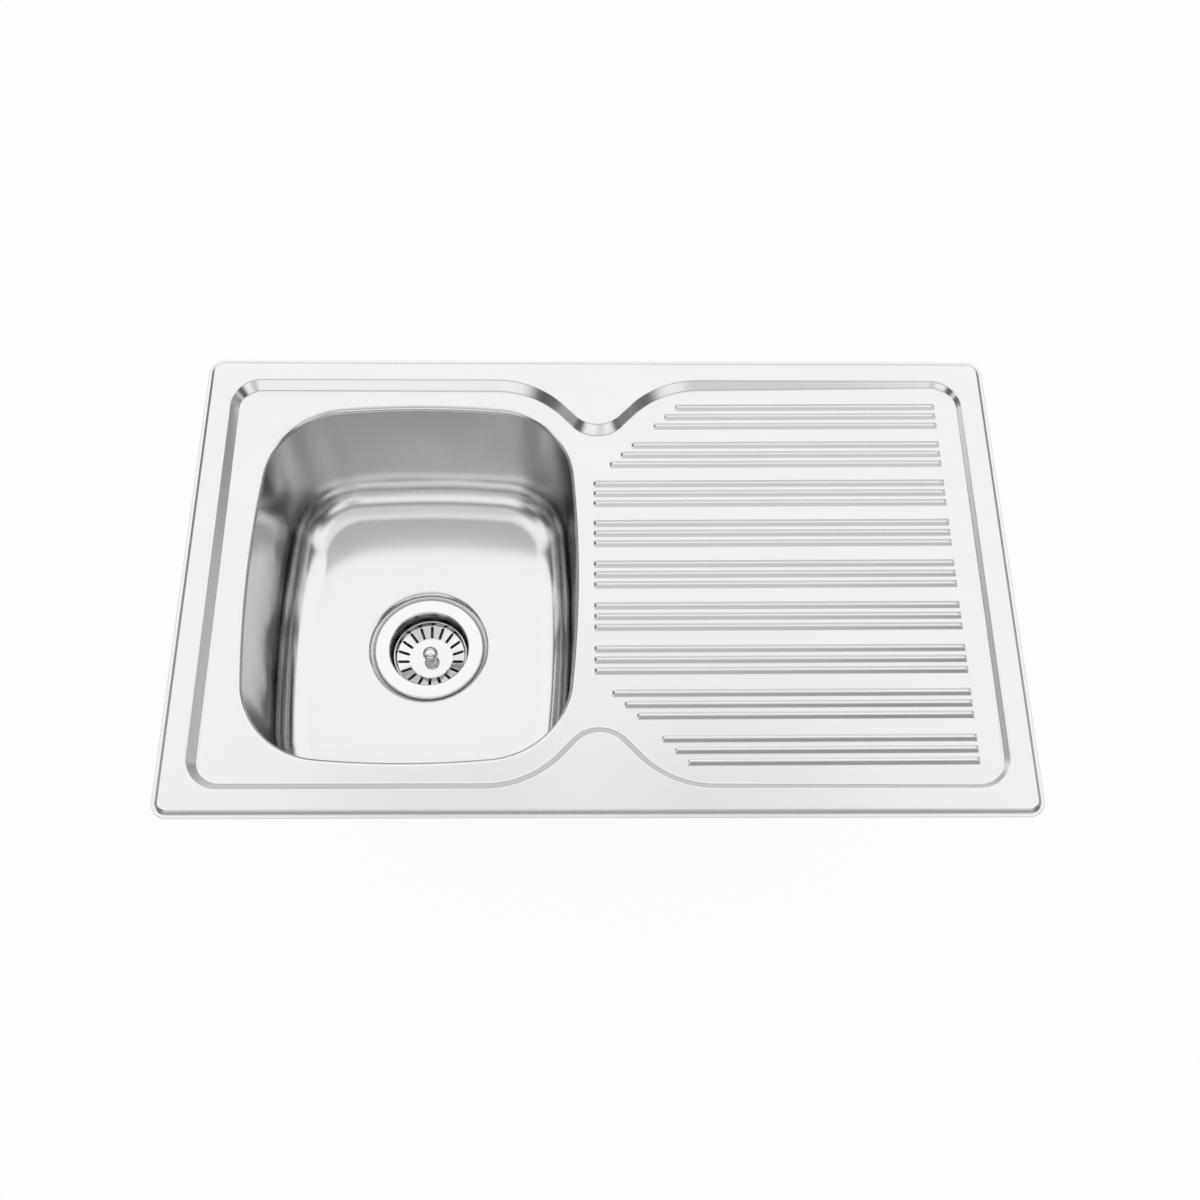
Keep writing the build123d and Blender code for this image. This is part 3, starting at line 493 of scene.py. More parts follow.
def bead(y, start, end):
    """Grid over one bead: z = floor + h(r) with r**n = past**n + side**n and n = SQUARENESS.

    side is the distance from the middle line, which runs from start to end at y, and past the distance
    beyond its ends, counted END_STEEP times.
    """
    reach = BEAD_REACH + BEAD_MARGIN
    ends = reach / END_STEEP * np.linspace(1, 0, END_STEPS)
    across = reach * np.linspace(-1, 1, SIDE_STEPS)
    x, side = np.meshgrid(np.concatenate([start - ends, end + ends[::-1]]), across, indexing="ij")
    past = END_STEEP * (x - np.clip(x, start, end))
    r = (past**SQUARENESS + side**SQUARENESS) ** (1 / SQUARENESS)
    height, fall = bead_height(r)
    power = SQUARENESS - 1
    unit = fall / np.maximum(r, NOT_ZERO) ** power
    slope_x = unit * past**power * END_STEEP + floor_slope(x)
    slope_y = unit * side**power
    points = np.dstack([x, y + side, floor_height(x) + height])
    return points, np.dstack([-slope_x, -slope_y, np.ones_like(x)])


def border(grid):
    """Points round the edge of a grid, in order."""
    return np.concatenate([grid[:-1, 0], grid[-1, :-1], grid[:0:-1, -1], grid[0, :0:-1]])


def tray_floor(x, y):
    """The tray floor's height and its slopes along x and y."""
    return floor_height(x), floor_slope(x), 0 * x


bead_half = BEAD_SEEN / END_STEEP
loops = [wall[:, -1], lip[:, 0]]
for group in GROUPS:
    for row in ROWS:
        y = group * GROUP_PITCH + row * BEAD_PITCH
        start = max(BREAK_X + BEAD_START, abs(y) - TIP_Y + TONGUE_ROOM)
        points, normals = bead(y, start + bead_half, TRAY_X - BEAD_STOP - bead_half)
        deck.grid(points, normals, closed=False)
        loops.append(border(points))
deck.cut_out(loops, tray_floor)
print("beads:", len(loops) - 2, "deck:", deck.count, "points")

# %% [markdown]
# ## From patches to a mesh
# A sheet's lower face is its upper face moved by the thickness against the normals and turned over, and
# half-round bands close the open edges. The Solidify modifier could do this, but it would lose the normals
# that were worked out above. They are kept on the mesh, so that flats stay flat beside their rounds.

# %% The deck as an object
BAND_STEPS = 7
MERGE = 0.002  # points that are closer than this are one point


def mesh_object(name, points, normals, quads, triangles, body):
    """Object of a closed surface with the given normals, on a body; points that meet are merged."""
    mesh = bpy.data.meshes.new(name)
    corners = np.concatenate([quads.ravel(), triangles.ravel()])
    starts = np.concatenate([4 * np.arange(len(quads)), quads.size + 3 * np.arange(len(triangles))])
    mesh.vertices.add(len(points))
    mesh.vertices.foreach_set("co", (points * MM).ravel())
    mesh.loops.add(len(corners))
    mesh.loops.foreach_set("vertex_index", corners)
    mesh.polygons.add(len(starts))
    mesh.polygons.foreach_set("loop_start", starts)
    mesh.update(calc_edges=True)
    kept = mesh.attributes.new("true_normal", "FLOAT_VECTOR", "POINT")
    kept.data.foreach_set("vector", normals.ravel())
    work = bmesh.new()
    work.from_mesh(mesh)
    bmesh.ops.remove_doubles(work, verts=work.verts, dist=MERGE * MM)
    open_edges = sum(len(edge.link_faces) != 2 for edge in work.edges)
    work.to_mesh(mesh)
    work.free()
    merged = np.empty(3 * len(mesh.vertices))
    mesh.attributes["true_normal"].data.foreach_get("vector", merged)
    mesh.shade_smooth()
    mesh.normals_split_custom_set_from_vertices(merged.reshape(-1, 3))
    mesh.attributes.remove(mesh.attributes["true_normal"])
    made = bpy.data.objects.new(name, mesh)
    bpy.context.scene.collection.objects.link(made)
    print(name, "faces:", len(mesh.polygons), "open edges:", open_edges)
    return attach(made, body)


def edge_band(upper, face, sheet):
    """Half-round band along an edge of the upper face: middle + sheet / 2 * (cos a * face + sin a * out).

    face is the upper face's normal, and out = face x direction of the edge points out of the sheet.
    """
    out = np.cross(face, np.roll(upper, -1, 0) - np.roll(upper, 1, 0))
    out /= np.linalg.norm(out, axis=1)[:, None]
    a = np.linspace(0, np.pi, BAND_STEPS)[:, None]
    ray = np.cos(a) * face[:, None] + np.sin(a) * out[:, None]
    return (upper - sheet / 2 * face)[:, None] + sheet / 2 * ray, ray


def sheet_object(name, patches, edges, body, sheet=SHEET):
    """Object of a sheet: its upper patches, bands on its edges, and the patches again below, turned over."""
    points, normals, quads, triangles = patches.joined()
    bands = Patches()
    for upper, face in edges:
        bands.grid(*edge_band(upper, face, sheet))
    band_points, band_normals, band_quads, _ = bands.joined()
    band_first = len(points)
    under_first = band_first + len(band_points)
    return mesh_object(
        name,
        np.concatenate([points, band_points, points - sheet * normals]),
        np.concatenate([normals, band_normals, -normals]),
        np.concatenate([quads, band_quads + band_first, quads[:, ::-1] + under_first]),
        np.concatenate([triangles, triangles[:, ::-1] + under_first]),
        body,
    )


deck_ends = [(rim[::-1, 0], rim_faces[::-1, 0]), (lip[:, -1], lip_faces[:, -1])]
deck_piece = sheet_object("deck_sheet", deck, deck_ends, "sink")
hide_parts("deck")

# %% [markdown]
# ## The bowl
# The bowl is drawn from its own sheet and welded to the lip, and the weld is ground away. Its wall leans by
# the draft, and its floor is a very flat cone that falls to the waste. A Bevel could round the edge between
# them, but that edge rises and falls on its way. So the round is added on top of the cone, and it meets the
# floor smoothly everywhere.

# %% Bowl wall and its foot
BOWL_DEPTH = 176.0  # ledge to the floor beside the waste
FLOOR_Z = LEDGE_Z - BOWL_DEPTH
FLOOR_FALL = np.tan(np.radians(2.6))
BOWL_FOOT = 33.0
DISH = 62.0
FOOT_STEPS = 17
WALL_STEPS = 8
FALL_POWER = 8  # how late the foot's normals take over the floor's fall


def cone(x, y):
    """Height of the bowl floor: FLOOR_Z at the dish, rising with the distance from the waste."""
    return FLOOR_Z + (np.hypot(x - BOWL_X, y) - DISH) * FLOOR_FALL


weld_d = weld_place[0]
wall_end = np.full(len(mouth), weld_d)
for _ in range(4):
    foot_start = mouth + wall_end[:, None] * mouth_inward
    foot_top = cone(*foot_start.T) + BOWL_FOOT * (1 - np.sin(DRAFT))
    wall_end = weld_d + (WELD_Z - foot_top) * np.tan(DRAFT)
foot_turn = np.linspace(DRAFT, RIGHT_ANGLE, FOOT_STEPS)
foot_d = wall_end[:, None] + BOWL_FOOT * (np.cos(DRAFT) - np.cos(foot_turn))
foot_xy = mouth[:, None] + foot_d[..., None] * mouth_inward[:, None]
foot_z = cone(foot_xy[..., 0], foot_xy[..., 1]) + BOWL_FOOT * (1 - np.sin(foot_turn))
share = np.linspace(0, 1, WALL_STEPS, endpoint=False)
wall_d = weld_d + (wall_end - weld_d)[:, None] * share
wall_z = WELD_Z + (foot_top - WELD_Z)[:, None] * share
bowl_places = np.stack([np.hstack([wall_d, foot_d]), np.hstack([wall_z, foot_z])], -1)
turn = np.concatenate([np.full(len(share), DRAFT), foot_turn])
bowl_wall, bowl_faces = carried(bowl_edge, bowl_places, np.stack([np.cos(turn), np.sin(turn)], 1))
from_waste = bowl_wall[..., :2] - (BOWL_X, 0)
outward = from_waste / np.linalg.norm(from_waste, axis=-1)[..., None]
bowl_faces[..., :2] -= FLOOR_FALL * (np.sin(turn) ** FALL_POWER)[None, :, None] * outward
bowl = Patches()
bowl.grid(bowl_wall, bowl_faces)
print(f"bowl's foot starts between {foot_top.min():.1f} and {foot_top.max():.1f}")

# %% [markdown]
# The floor runs from the foot along rays to the waste, and a dish is pressed into its middle for the
# flange. Floor and dish follow the same rays, so their edges meet point by point.

# %% Bowl floor and the dished seat of the waste
DISH_SEAT = 57.2
DISH_DEPTH = 8.5
DISH_EDGE = 5.0  # rounding at the edge of the dish
DISH_ROUND = 2.5  # rounding at its foot
DISH_MARGIN = 3.0  # flat strip round the dish
WASTE_HOLE = 43.0
FLOOR_STEPS = 7
SEAT_Z = FLOOR_Z - DISH_DEPTH
floor_end = DISH + DISH_MARGIN
foot_r = np.linalg.norm(from_waste[:, -1], axis=1)
ray = from_waste[:, -1] / foot_r[:, None]
floor_r = foot_r[:, None] + (floor_end - foot_r)[:, None] * np.linspace(0, 1, FLOOR_STEPS)
floor_xy = ray[:, None] * floor_r[..., None] + (BOWL_X, 0)
floor_lean = np.broadcast_to(-FLOOR_FALL * ray[:, None], floor_xy.shape)
bowl.grid(
    np.dstack([floor_xy, FLOOR_Z + (floor_r - DISH) * FLOOR_FALL]),
    np.dstack([floor_lean, np.ones_like(floor_r)]),
)
dish_profile = rounded(
    [
        (-floor_end, FLOOR_Z + DISH_MARGIN * FLOOR_FALL),
        (-DISH, FLOOR_Z),
        (-DISH_SEAT, SEAT_Z),
        (-WASTE_HOLE, SEAT_Z),
    ],
    [DISH_EDGE, DISH_ROUND],
)
dish, dish_faces = carried((0 * ray + (BOWL_X, 0), -ray), *dish_profile)
bowl.grid(dish, dish_faces)
bowl_ends = [(bowl_wall[::-1, 0], bowl_faces[::-1, 0]), (dish[:, -1], dish_faces[:, -1])]
bowl_piece = sheet_object("bowl_shell", bowl, bowl_ends, "sink")
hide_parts("bowl")

# %% [markdown]
# ## The waste
# A flange of spun steel sits in the dish: a flat ring with a turned-down edge, a throat, and a bottom with
# drain holes in a shallow cone. Flange and basket are profiles turned round the waste's axis, which is the
# same as carrying them along an outline that has shrunk to a point. The Screw modifier could turn them, but
# the cones with holes need plain formulas, so all of it is worked out here.

# %% Cone under the flange
FLANGE_STACK = 4.0  # gasket and flange
THROAT_DEPTH = 31.5
HUB_DROP = 8.0
CUP_HOLE = 23.0
HUB = 10.0
FLANGE_TOP = SEAT_Z + FLANGE_STACK
CUP_Z = FLANGE_TOP - THROAT_DEPTH
HUB_Z = CUP_Z - HUB_DROP


def cone_through(start, end):
    """Surface of a cone round the waste's axis through two points (radius, height)."""
    rise = (end[1] - start[1]) / (end[0] - start[0])

    def surface(x, y):
        """z = start height + rise * (r - start radius); its slopes are rise * x / r and rise * y / r."""
        r = np.hypot(x - BOWL_X, y)
        return start[1] + rise * (r - start[0]), rise * (x - BOWL_X) / r, rise * y / r

    return surface


def on_cone(surface, r):
    """Point (radius, height) of a cone round the waste's axis."""
    return r, float(surface(BOWL_X + r, 0.0)[0])


cup_cone = cone_through((HUB, HUB_Z), (CUP_HOLE, CUP_Z))
print(f"flange top at {FLANGE_TOP:.1f}, its bottom at {HUB_Z:.1f}")

# %% [markdown]
# The flange's outer profile starts at the foot of the turned-down edge, which flares out to the dish, and
# goes over the ring and down the throat to the cone. The hub in the middle is a second profile.

# %% Flange and hub
FLANGE_SHEET = 0.9
FLANGE_RADIUS = 56.0
FLANGE_FOOT = 56.9
FOOT_GAP = 0.3
THROAT = 41.0
HUB_HOLE = 5.3
FLANGE_EDGE = 1.5  # rounding over the turned-down edge
THROAT_ROUND = 2.0
CONE_ROUND = 1.0
CONE_MARGIN = 1.0  # strip of cone that belongs to a profile
TURN_STEPS = 144
turn_angle = np.linspace(0, 2 * np.pi, TURN_STEPS, endpoint=False)
turn_ray = np.stack([np.cos(turn_angle), np.sin(turn_angle)], 1)
waste_axis = (0 * turn_ray + (BOWL_X, 0), -turn_ray)


def turned(patches, bends, radii):
    """Profile of (radius, height) bends turned round the axis, with a round of radii[i] at inner bend i."""
    mirrored = np.array(bends, float) * (-1, 1)
    surface, faces = carried(waste_axis, *rounded(mirrored, radii))
    patches.grid(surface, faces)
    return surface, faces


flange = Patches()
outer, outer_faces = turned(
    flange,
    [
        (FLANGE_FOOT, SEAT_Z + FOOT_GAP + FLANGE_SHEET / 2),
        (FLANGE_RADIUS, FLANGE_TOP),
        (THROAT, FLANGE_TOP),
        (THROAT, CUP_Z),
        (CUP_HOLE, CUP_Z),
        on_cone(cup_cone, CUP_HOLE - CONE_MARGIN),
    ],
    [FLANGE_EDGE, THROAT_ROUND, THROAT_ROUND, CONE_ROUND],
)
hub, hub_faces = turned(
    flange,
    [on_cone(cup_cone, HUB + CONE_MARGIN), (HUB, HUB_Z), (HUB_HOLE + FLANGE_SHEET / 2, HUB_Z)],
    [CONE_ROUND],
)
print("flange profiles:", outer.shape[1], "and", hub.shape[1], "points")

# %% [markdown]
# Six drain holes go through the cone. A hole's outline is drawn in plan as a slot along a ray, because the
# basket's slots need the same helper. Half the sheet is added to its size, for the rounded edge.

# %% Drain holes, and the flange as an object
DRAIN_HOLES = 6
HOLE_CIRCLE = 16.6
HOLE = 4.4
NEARLY_ROUND = 0.99  # width over length of a hole, which keeps two short straight sides


def slot_loop(angle, start, end, width, count=12):
    """Outline of a slot along a ray from the axis: two half circles joined by straight sides."""
    half = np.linspace(-RIGHT_ANGLE, RIGHT_ANGLE, count)
    sides = np.linspace(0, 1, count)[1:-1]
    straight = end - start - width
    ends = width / 2 * np.stack([np.cos(half), np.sin(half)], 1)
    edge = np.stack([straight / 2 * (1 - 2 * sides), 0 * sides + width / 2], 1)
    loop = np.concatenate([ends + (straight / 2, 0), edge])
    loop = np.concatenate([loop, -loop]) + ((start + end) / 2, 0)
    turn = np.array([[np.cos(angle), np.sin(angle)], [-np.sin(angle), np.cos(angle)]])
    return loop @ turn + (BOWL_X, 0)


hole_reach = HOLE + FLANGE_SHEET / 2
drain_holes = [
    slot_loop(angle, HOLE_CIRCLE - hole_reach, HOLE_CIRCLE + hole_reach, 2 * NEARLY_ROUND * hole_reach)
    for angle in np.arange(DRAIN_HOLES) * 2 * np.pi / DRAIN_HOLES
]
flange.cut_out([outer[:, -1], hub[:, 0], *drain_holes], cup_cone)
flange_ends = [(outer[::-1, 0], outer_faces[::-1, 0]), (hub[:, -1], hub_faces[:, -1])]
flange_ends += [lifted(hole, cup_cone) for hole in drain_holes]
flange_piece = sheet_object("flange_ring", flange, flange_ends, "sink", FLANGE_SHEET)
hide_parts("waste_flange")

# %% [markdown]
# ## The basket
# The basket that hangs in the throat is pressed from thinner sheet: a flat floor, a slotted cone, a steep
# side and a rim that is rolled over. It is made like the flange, and it rides on the strainer's body, so it
# lifts out with its knob.

# %% Profiles of the basket
BASKET_SHEET = 0.7
BASKET_DROP = 26.2  # flange top to the basket's floor
BASKET_FLOOR = 22.4
SHOULDER = 35.8
SHOULDER_RISE = 5.0
RIM_RISE = 10.2
ROLL = 0.9  # half the thickness of the rolled rim
ROLL_MIDDLE = 38.1
ROLL_ROUND = 0.85
SHOULDER_ROUND = 0.4
SHOULDER_STRIP = 0.3  # strips of cone that belong to the profiles
FLOOR_ROUND = 0.6
FLOOR_STRIP = 0.15
STUD_HOLE = 2.55
BASKET_Z = FLANGE_TOP - BASKET_DROP
SHOULDER_Z = BASKET_Z + SHOULDER_RISE
RIM_Z = BASKET_Z + RIM_RISE
basket_cone = cone_through((BASKET_FLOOR, BASKET_Z), (SHOULDER, SHOULDER_Z))
basket = Patches()
upper, upper_faces = turned(
    basket,
    [
        (ROLL_MIDDLE + ROLL, RIM_Z - ROLL),
        (ROLL_MIDDLE + ROLL, RIM_Z + ROLL),
        (ROLL_MIDDLE - ROLL, RIM_Z + ROLL),
        (SHOULDER, SHOULDER_Z),
        on_cone(basket_cone, SHOULDER - SHOULDER_STRIP),
    ],
    [ROLL_ROUND, ROLL_ROUND, SHOULDER_ROUND],
)
plate, plate_faces = turned(
    basket,
    [
        on_cone(basket_cone, BASKET_FLOOR + FLOOR_STRIP),
        (BASKET_FLOOR, BASKET_Z),
        (STUD_HOLE + BASKET_SHEET / 2, BASKET_Z),
    ],
    [FLOOR_ROUND],
)
print("basket profiles:", upper.shape[1], "and", plate.shape[1], "points")

# %% [markdown]
# Eighteen slots let the water through. They fill the cone almost from edge to edge.

# %% Slots, and the basket as an object
SLOTS = 18
SLOT_WIDTH = 2.7
SLOT_INSIDE = 0.3  # slots to the edges of the cone
SLOT_OUTSIDE = 0.5
slot_start = BASKET_FLOOR + SLOT_INSIDE
slot_end = SHOULDER - SLOT_OUTSIDE
slots = [
    slot_loop(angle, slot_start, slot_end, SLOT_WIDTH + BASKET_SHEET)
    for angle in RIGHT_ANGLE + np.arange(SLOTS) * 2 * np.pi / SLOTS
]
basket.cut_out([upper[:, -1], plate[:, 0], *slots], basket_cone)
basket_ends = [(upper[::-1, 0], upper_faces[::-1, 0]), (plate[:, -1], plate_faces[:, -1])]
basket_ends += [lifted(slot, basket_cone) for slot in slots]
basket_piece = sheet_object("basket_pressing", basket, basket_ends, "strainer", BASKET_SHEET)
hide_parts("strainer_basket")

# %% [markdown]
# ## The knob
# The knob that lifts the basket is turned from bar: a flattened ball on a thin neck with a small collar,
# bored from below for the pin. A UV sphere would need joining to its neck, so the ball is one more profile,
# an ellipse that starts where the neck ends.

# %% Knob
KNOB = 8.0
KNOB_RISE = 5.6  # half the height of the flattened ball
KNOB_CENTRE = 11.6  # basket floor to the middle of the ball
KNOB_NECK = 3.6
KNOB_COLLAR = 5.2
COLLAR_HEIGHT = 1.2
BORE = 9.0
BALL_STEPS = 40
KNOB_ROUNDS = [0.2, 0.2, 0.3, 0.4, 0.6, 0.35]  # from the bore to the neck
NECK_BLEND = 0.06  # angle that the round between neck and ball takes up
KNOB_Z = BASKET_Z + KNOB_CENTRE
COLLAR_Z = BASKET_Z + COLLAR_HEIGHT
BORE_TOP = BASKET_Z - BASKET_SHEET + BORE
neck_turn = np.arcsin(KNOB_NECK / KNOB)
ball_turn = np.linspace(neck_turn + NECK_BLEND, np.pi, BALL_STEPS)
ball_places = np.stack([-KNOB * np.sin(ball_turn), KNOB_Z - KNOB_RISE * np.cos(ball_turn)], 1)
ball_normals = np.stack([-KNOB_RISE * np.sin(ball_turn), -KNOB * np.cos(ball_turn)], 1)
knob = Patches()
turned(
    knob,
    [
        (0, BORE_TOP),
        (STUD_HOLE, BORE_TOP),
        (STUD_HOLE, BASKET_Z),
        (KNOB_COLLAR, BASKET_Z),
        (KNOB_COLLAR, COLLAR_Z),
        (KNOB_NECK, COLLAR_Z + KNOB_COLLAR - KNOB_NECK),
        (KNOB_NECK, KNOB_Z - KNOB_RISE * np.cos(neck_turn)),
        (-ball_places[0, 0], ball_places[0, 1]),
    ],
    KNOB_ROUNDS,
)
knob.grid(*carried(waste_axis, ball_places, ball_normals))
knob_piece = mesh_object("turned_knob", *knob.joined(), "strainer")
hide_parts("basket_knob")

# %% [markdown]
# ## The tent
# Product pictures of steel are taken in a white tent, and so is this one: the world is white to the camera
# and in reflections, and a little darker as a light. Its nodes are the first of many, so here is the class
# that lets a node tree be written as arithmetic: each wire stands for an output of a node, and adding or
# multiplying wires adds the Math nodes.

# %% Wires, and the world
TENT_LIGHT = 0.8


class Wire:
    """One output of a node; arithmetic on wires adds Math nodes."""

    def __init__(self, tree, socket=None):
        self.tree = tree
        self.socket = socket

    def node(self, kind, settings=None, sockets=None, out=0):
        """Add a node, set its settings, then fill its sockets with values or wires."""
        made = self.tree.nodes.new(kind)
        for name, value in (settings or {}).items():
            setattr(made, name, value)
        for name, value in (sockets or {}).items():
            if isinstance(value, Wire):
                self.tree.links.new(value.socket, made.inputs[name])
            else:
                made.inputs[name].default_value = value
        return Wire(self.tree, made.outputs[out] if len(made.outputs) else None)

    def math(self, operation, first, second):
        """A Math node of two values."""
        return self.node("ShaderNodeMath", {"operation": operation}, {0: first, 1: second})

    def __add__(self, other):
        return self.math("ADD", self, other)

    __radd__ = __add__

    def __mul__(self, other):
        return self.math("MULTIPLY", self, other)

    __rmul__ = __mul__

    def __sub__(self, other):
        return self.math("SUBTRACT", self, other)

    def __rsub__(self, other):
        return self.math("SUBTRACT", other, self)


def looked_at(start):
    """1 for rays from the camera, from mirrors and through glass, and 0 for rays that only gather light."""
    camera_ray = start.node("ShaderNodeLightPath", out="Is Camera Ray")
    glossy_ray = start.node("ShaderNodeLightPath", out="Is Glossy Ray")
    glass_ray = start.node("ShaderNodeLightPath", out="Is Transmission Ray")
    return start.math("MINIMUM", camera_ray + glossy_ray + glass_ray, 1.0)


scene = bpy.context.scene
world = bpy.data.worlds.new("tent")
scene.world = world
world.use_nodes = True
world.node_tree.nodes.clear()
tent = Wire(world.node_tree)
strength = TENT_LIGHT + (1 - TENT_LIGHT) * looked_at(tent)
light = tent.node("ShaderNodeBackground", {}, {"Color": (1, 1, 1, 1), "Strength": strength})
tent.node("ShaderNodeOutputWorld", {}, {"Surface": light})
print("tent:", len(world.node_tree.nodes), "nodes")

# %% [markdown]
# ## The floor
# The photograph's ground is plain white. Matt paper alone would come out grey under this light, so most of
# what the camera sees of it glows, and the rest keeps a faint shadow of the sink.

# %% Floor
FLOOR_SIDE = 4.0
FLOOR_GAP = 0.001
PAPER_GLOW = 0.95


def blank(name):
    """A new material and the wire that starts its node tree."""
    material = bpy.data.materials.new(name)
    material.use_nodes = True
    material.node_tree.nodes.clear()
    return material, Wire(material.node_tree)


def covered(start, share, below, above):
    """End a material with two shaders: the one below where share is 0, the one above where it is 1."""
    both = start.node("ShaderNodeMixShader", {}, {0: share, 1: below, 2: above})
    start.node("ShaderNodeOutputMaterial", {}, {"Surface": both})


floor_corners = np.array([(-1, -1, 0), (1, -1, 0), (1, 1, 0), (-1, 1, 0)]) * FLOOR_SIDE
floor_corners[:, 2] = cad_box[0][2] - FLOOR_GAP
floor_mesh = bpy.data.meshes.new("floor")
floor_mesh.from_pydata(floor_corners.tolist(), [], [(0, 1, 2, 3)])
ground = bpy.data.objects.new("floor", floor_mesh)
scene.collection.objects.link(ground)
paper, start = blank("paper")
matt = start.node("ShaderNodeBsdfDiffuse", {}, {"Color": (0.95, 0.95, 0.95, 1)})
glow = start.node("ShaderNodeEmission", {}, {"Color": (1, 1, 1, 1), "Strength": 1.0})
covered(start, PAPER_GLOW * looked_at(start), matt, glow)
floor_mesh.materials.append(paper)
print(f"floor at {floor_corners[0, 2]:.4f} m")

# %% [markdown]
# ## Flags
# In a tent that is white all round, steel would be white too. Photographers hang grey cloths, called flags,
# where the camera doesn't see them, and their reflections draw the shape. Lamps with hard edges could do
# the same with light, but the photograph's tones fade softly, so each flag is a patch of a sphere round the
# sink whose cover, an attribute of its points, thins out towards its edges.

# %% A cloth that only reflections show
FLAG_STEPS = 25


def fade(low, high, soft):
    """Angles across a flag, and its cover: 0 at both edges, rising smoothly to 1 over soft degrees."""
    angle = np.linspace(low, high, FLAG_STEPS)
    share = np.clip(np.minimum(angle - low, high - angle) / soft, 0, 1)
    return np.radians(angle), share**2 * (3 - 2 * share)


def stage_panel(name, points, faces, cover, grey):
    """Grey cloth, seen only in reflections, which is as thick as cover says at each point."""
    panel = bpy.data.meshes.new(name)
    panel.from_pydata(points.reshape(-1, 3).tolist(), [], faces.tolist())
    thickness = panel.attributes.new("cover", "FLOAT", "POINT")
    thickness.data.foreach_set("value", cover.ravel())
    made = bpy.data.objects.new(name, panel)
    scene.collection.objects.link(made)
    made.visible_camera = False
    made.visible_shadow = False
    made.visible_diffuse = False
    cloth, start = blank(name)
    cloth.cycles.emission_sampling = "NONE"
    glow = start.node("ShaderNodeEmission", {}, {"Color": (grey, grey, grey, 1), "Strength": 1.0})
    share = start.node("ShaderNodeAttribute", {"attribute_name": "cover"}, out="Fac")
    covered(start, share, start.node("ShaderNodeBsdfTransparent"), glow)
    panel.materials.append(cloth)


def flag(name, turn, rise, grey, soft, distance=2.6):
    """Grey cloth on a sphere round the sink: distance * (sin a cos e, -cos a cos e, sin e).

    turn is the range of its azimuth a, from the front to the right, and rise that of its elevation e, both
    in degrees. soft is the width of its soft edges.
    """
    (a, across), (e, upwards) = fade(*turn, soft[0]), fade(*rise, soft[1])
    a, e = np.meshgrid(a, e, indexing="ij")
    points = distance * np.dstack([np.sin(a) * np.cos(e), -np.cos(a) * np.cos(e), np.sin(e)])
    number = np.arange(FLAG_STEPS**2).reshape(FLAG_STEPS, FLAG_STEPS)
    faces = np.stack([number[:-1, :-1], number[1:, :-1], number[1:, 1:], number[:-1, 1:]], -1)
    stage_panel(name, points, faces.reshape(-1, 4), np.outer(across, upwards), grey)
    print(name, "turn", turn, "rise", rise, "grey", grey)


print("cover across a flag with soft edges:", fade(0, 60, 20)[1][::3].round(2))

# %% [markdown]
# The flags in front are what the bowl's back wall shows: a dark one low, a paler one above it. Those at the
# sides draw the dark end walls, with a paler strip along their feet. The ceiling shades the ledge and the
# front of the tray, and the ones at the horizon draw the thin lines on rounds and beads.

# %% Flags in their places
flag("flag_front", turn=(-90, 95), rise=(38, 58), grey=0.22, soft=(20, 7))
flag("flag_high", turn=(-80, 80), rise=(52, 90), grey=0.66, soft=(25, 6), distance=2.65)
flag("flag_low", turn=(-4, 28), rise=(20, 44), grey=0.55, soft=(10, 8), distance=2.7)
flag("flag_left", turn=(-84, -36), rise=(4, 50), grey=0.06, soft=(16, 14), distance=2.5)
flag("flag_right", turn=(46, 88), rise=(4, 52), grey=0.06, soft=(14, 14), distance=2.5)
flag("flag_side_left", turn=(-138, -84), rise=(6, 31), grey=0.03, soft=(10, 6))
flag("flag_wall_left", turn=(-128, -92), rise=(-6, 16), grey=0.55, soft=(12, 8), distance=2.55)
flag("flag_side_right", turn=(84, 138), rise=(6, 31), grey=0.25, soft=(10, 6))
flag("flag_wall_right", turn=(92, 130), rise=(-6, 16), grey=0.55, soft=(12, 8), distance=2.55)
flag("flag_ceiling", turn=(-180, 180), rise=(64, 90), grey=0.8, soft=(0.1, 12), distance=2.8)
flag("flag_horizon", turn=(-95, 160), rise=(-8, 20), grey=0.2, soft=(20, 12), distance=2.85)
flag("flag_horizon_back", turn=(140, 215), rise=(-8, 20), grey=0.6, soft=(20, 12), distance=2.8)

# %% [markdown]
# One more cloth lies round the sink, a little below the rim. The rim's step leans outwards, so it shows this
# cloth as the dark line that runs along the sink's edge.

# %% Cloth on the table
CLOTH_NEAR = -10.0  # distances inside the outer edge, so these lie outside it
CLOTH_FAR = -300.0
CLOTH_Z = -25.0
cloth_places = np.array([(CLOTH_NEAR, CLOTH_Z), (CLOTH_FAR, CLOTH_Z)])
cloth_points, _ = carried(rim_edge, cloth_places, np.array([(0, 1.0), (0, 1.0)]))
number = np.arange(2 * len(cloth_points)).reshape(-1, 2)
ahead = np.roll(number, -1, 0)
faces = np.stack([number[:, 0], ahead[:, 0], ahead[:, 1], number[:, 1]], 1)
stage_panel("flag_table", cloth_points * MM, faces, np.ones(number.size), grey=0.2)
print("cloth on the table:", len(faces), "faces")

# %% [markdown]
# ## Satin steel
# The deck is brushed along its length. Anisotropic shading would be one way to show that, but it takes its
# direction from a UV map, which these meshes don't have. So the grain is noise that is long along x and
# fine across, in a weak bump and in the roughness, over soft clouds. A satin surface also scatters light
# that grazes it, and a grey Specular Tint takes that light away.

# %% Satin steel
GRAIN = (8.0, 1100.0, 1100.0)  # scales per metre: long along x, fine across
CLOUDS = (9.0, 14.0, 14.0)
CLOUD_TONE = 0.97
LINE_SPREAD = 0.06  # how much grain lines vary the roughness
LINE_HEIGHT = 0.0002  # in metres, as in all materials
LINE_DETAIL = 3.0
MIX_FIRST, MIX_SECOND, MIX_COLOUR = 6, 7, 2  # the Mix node's sockets for colours


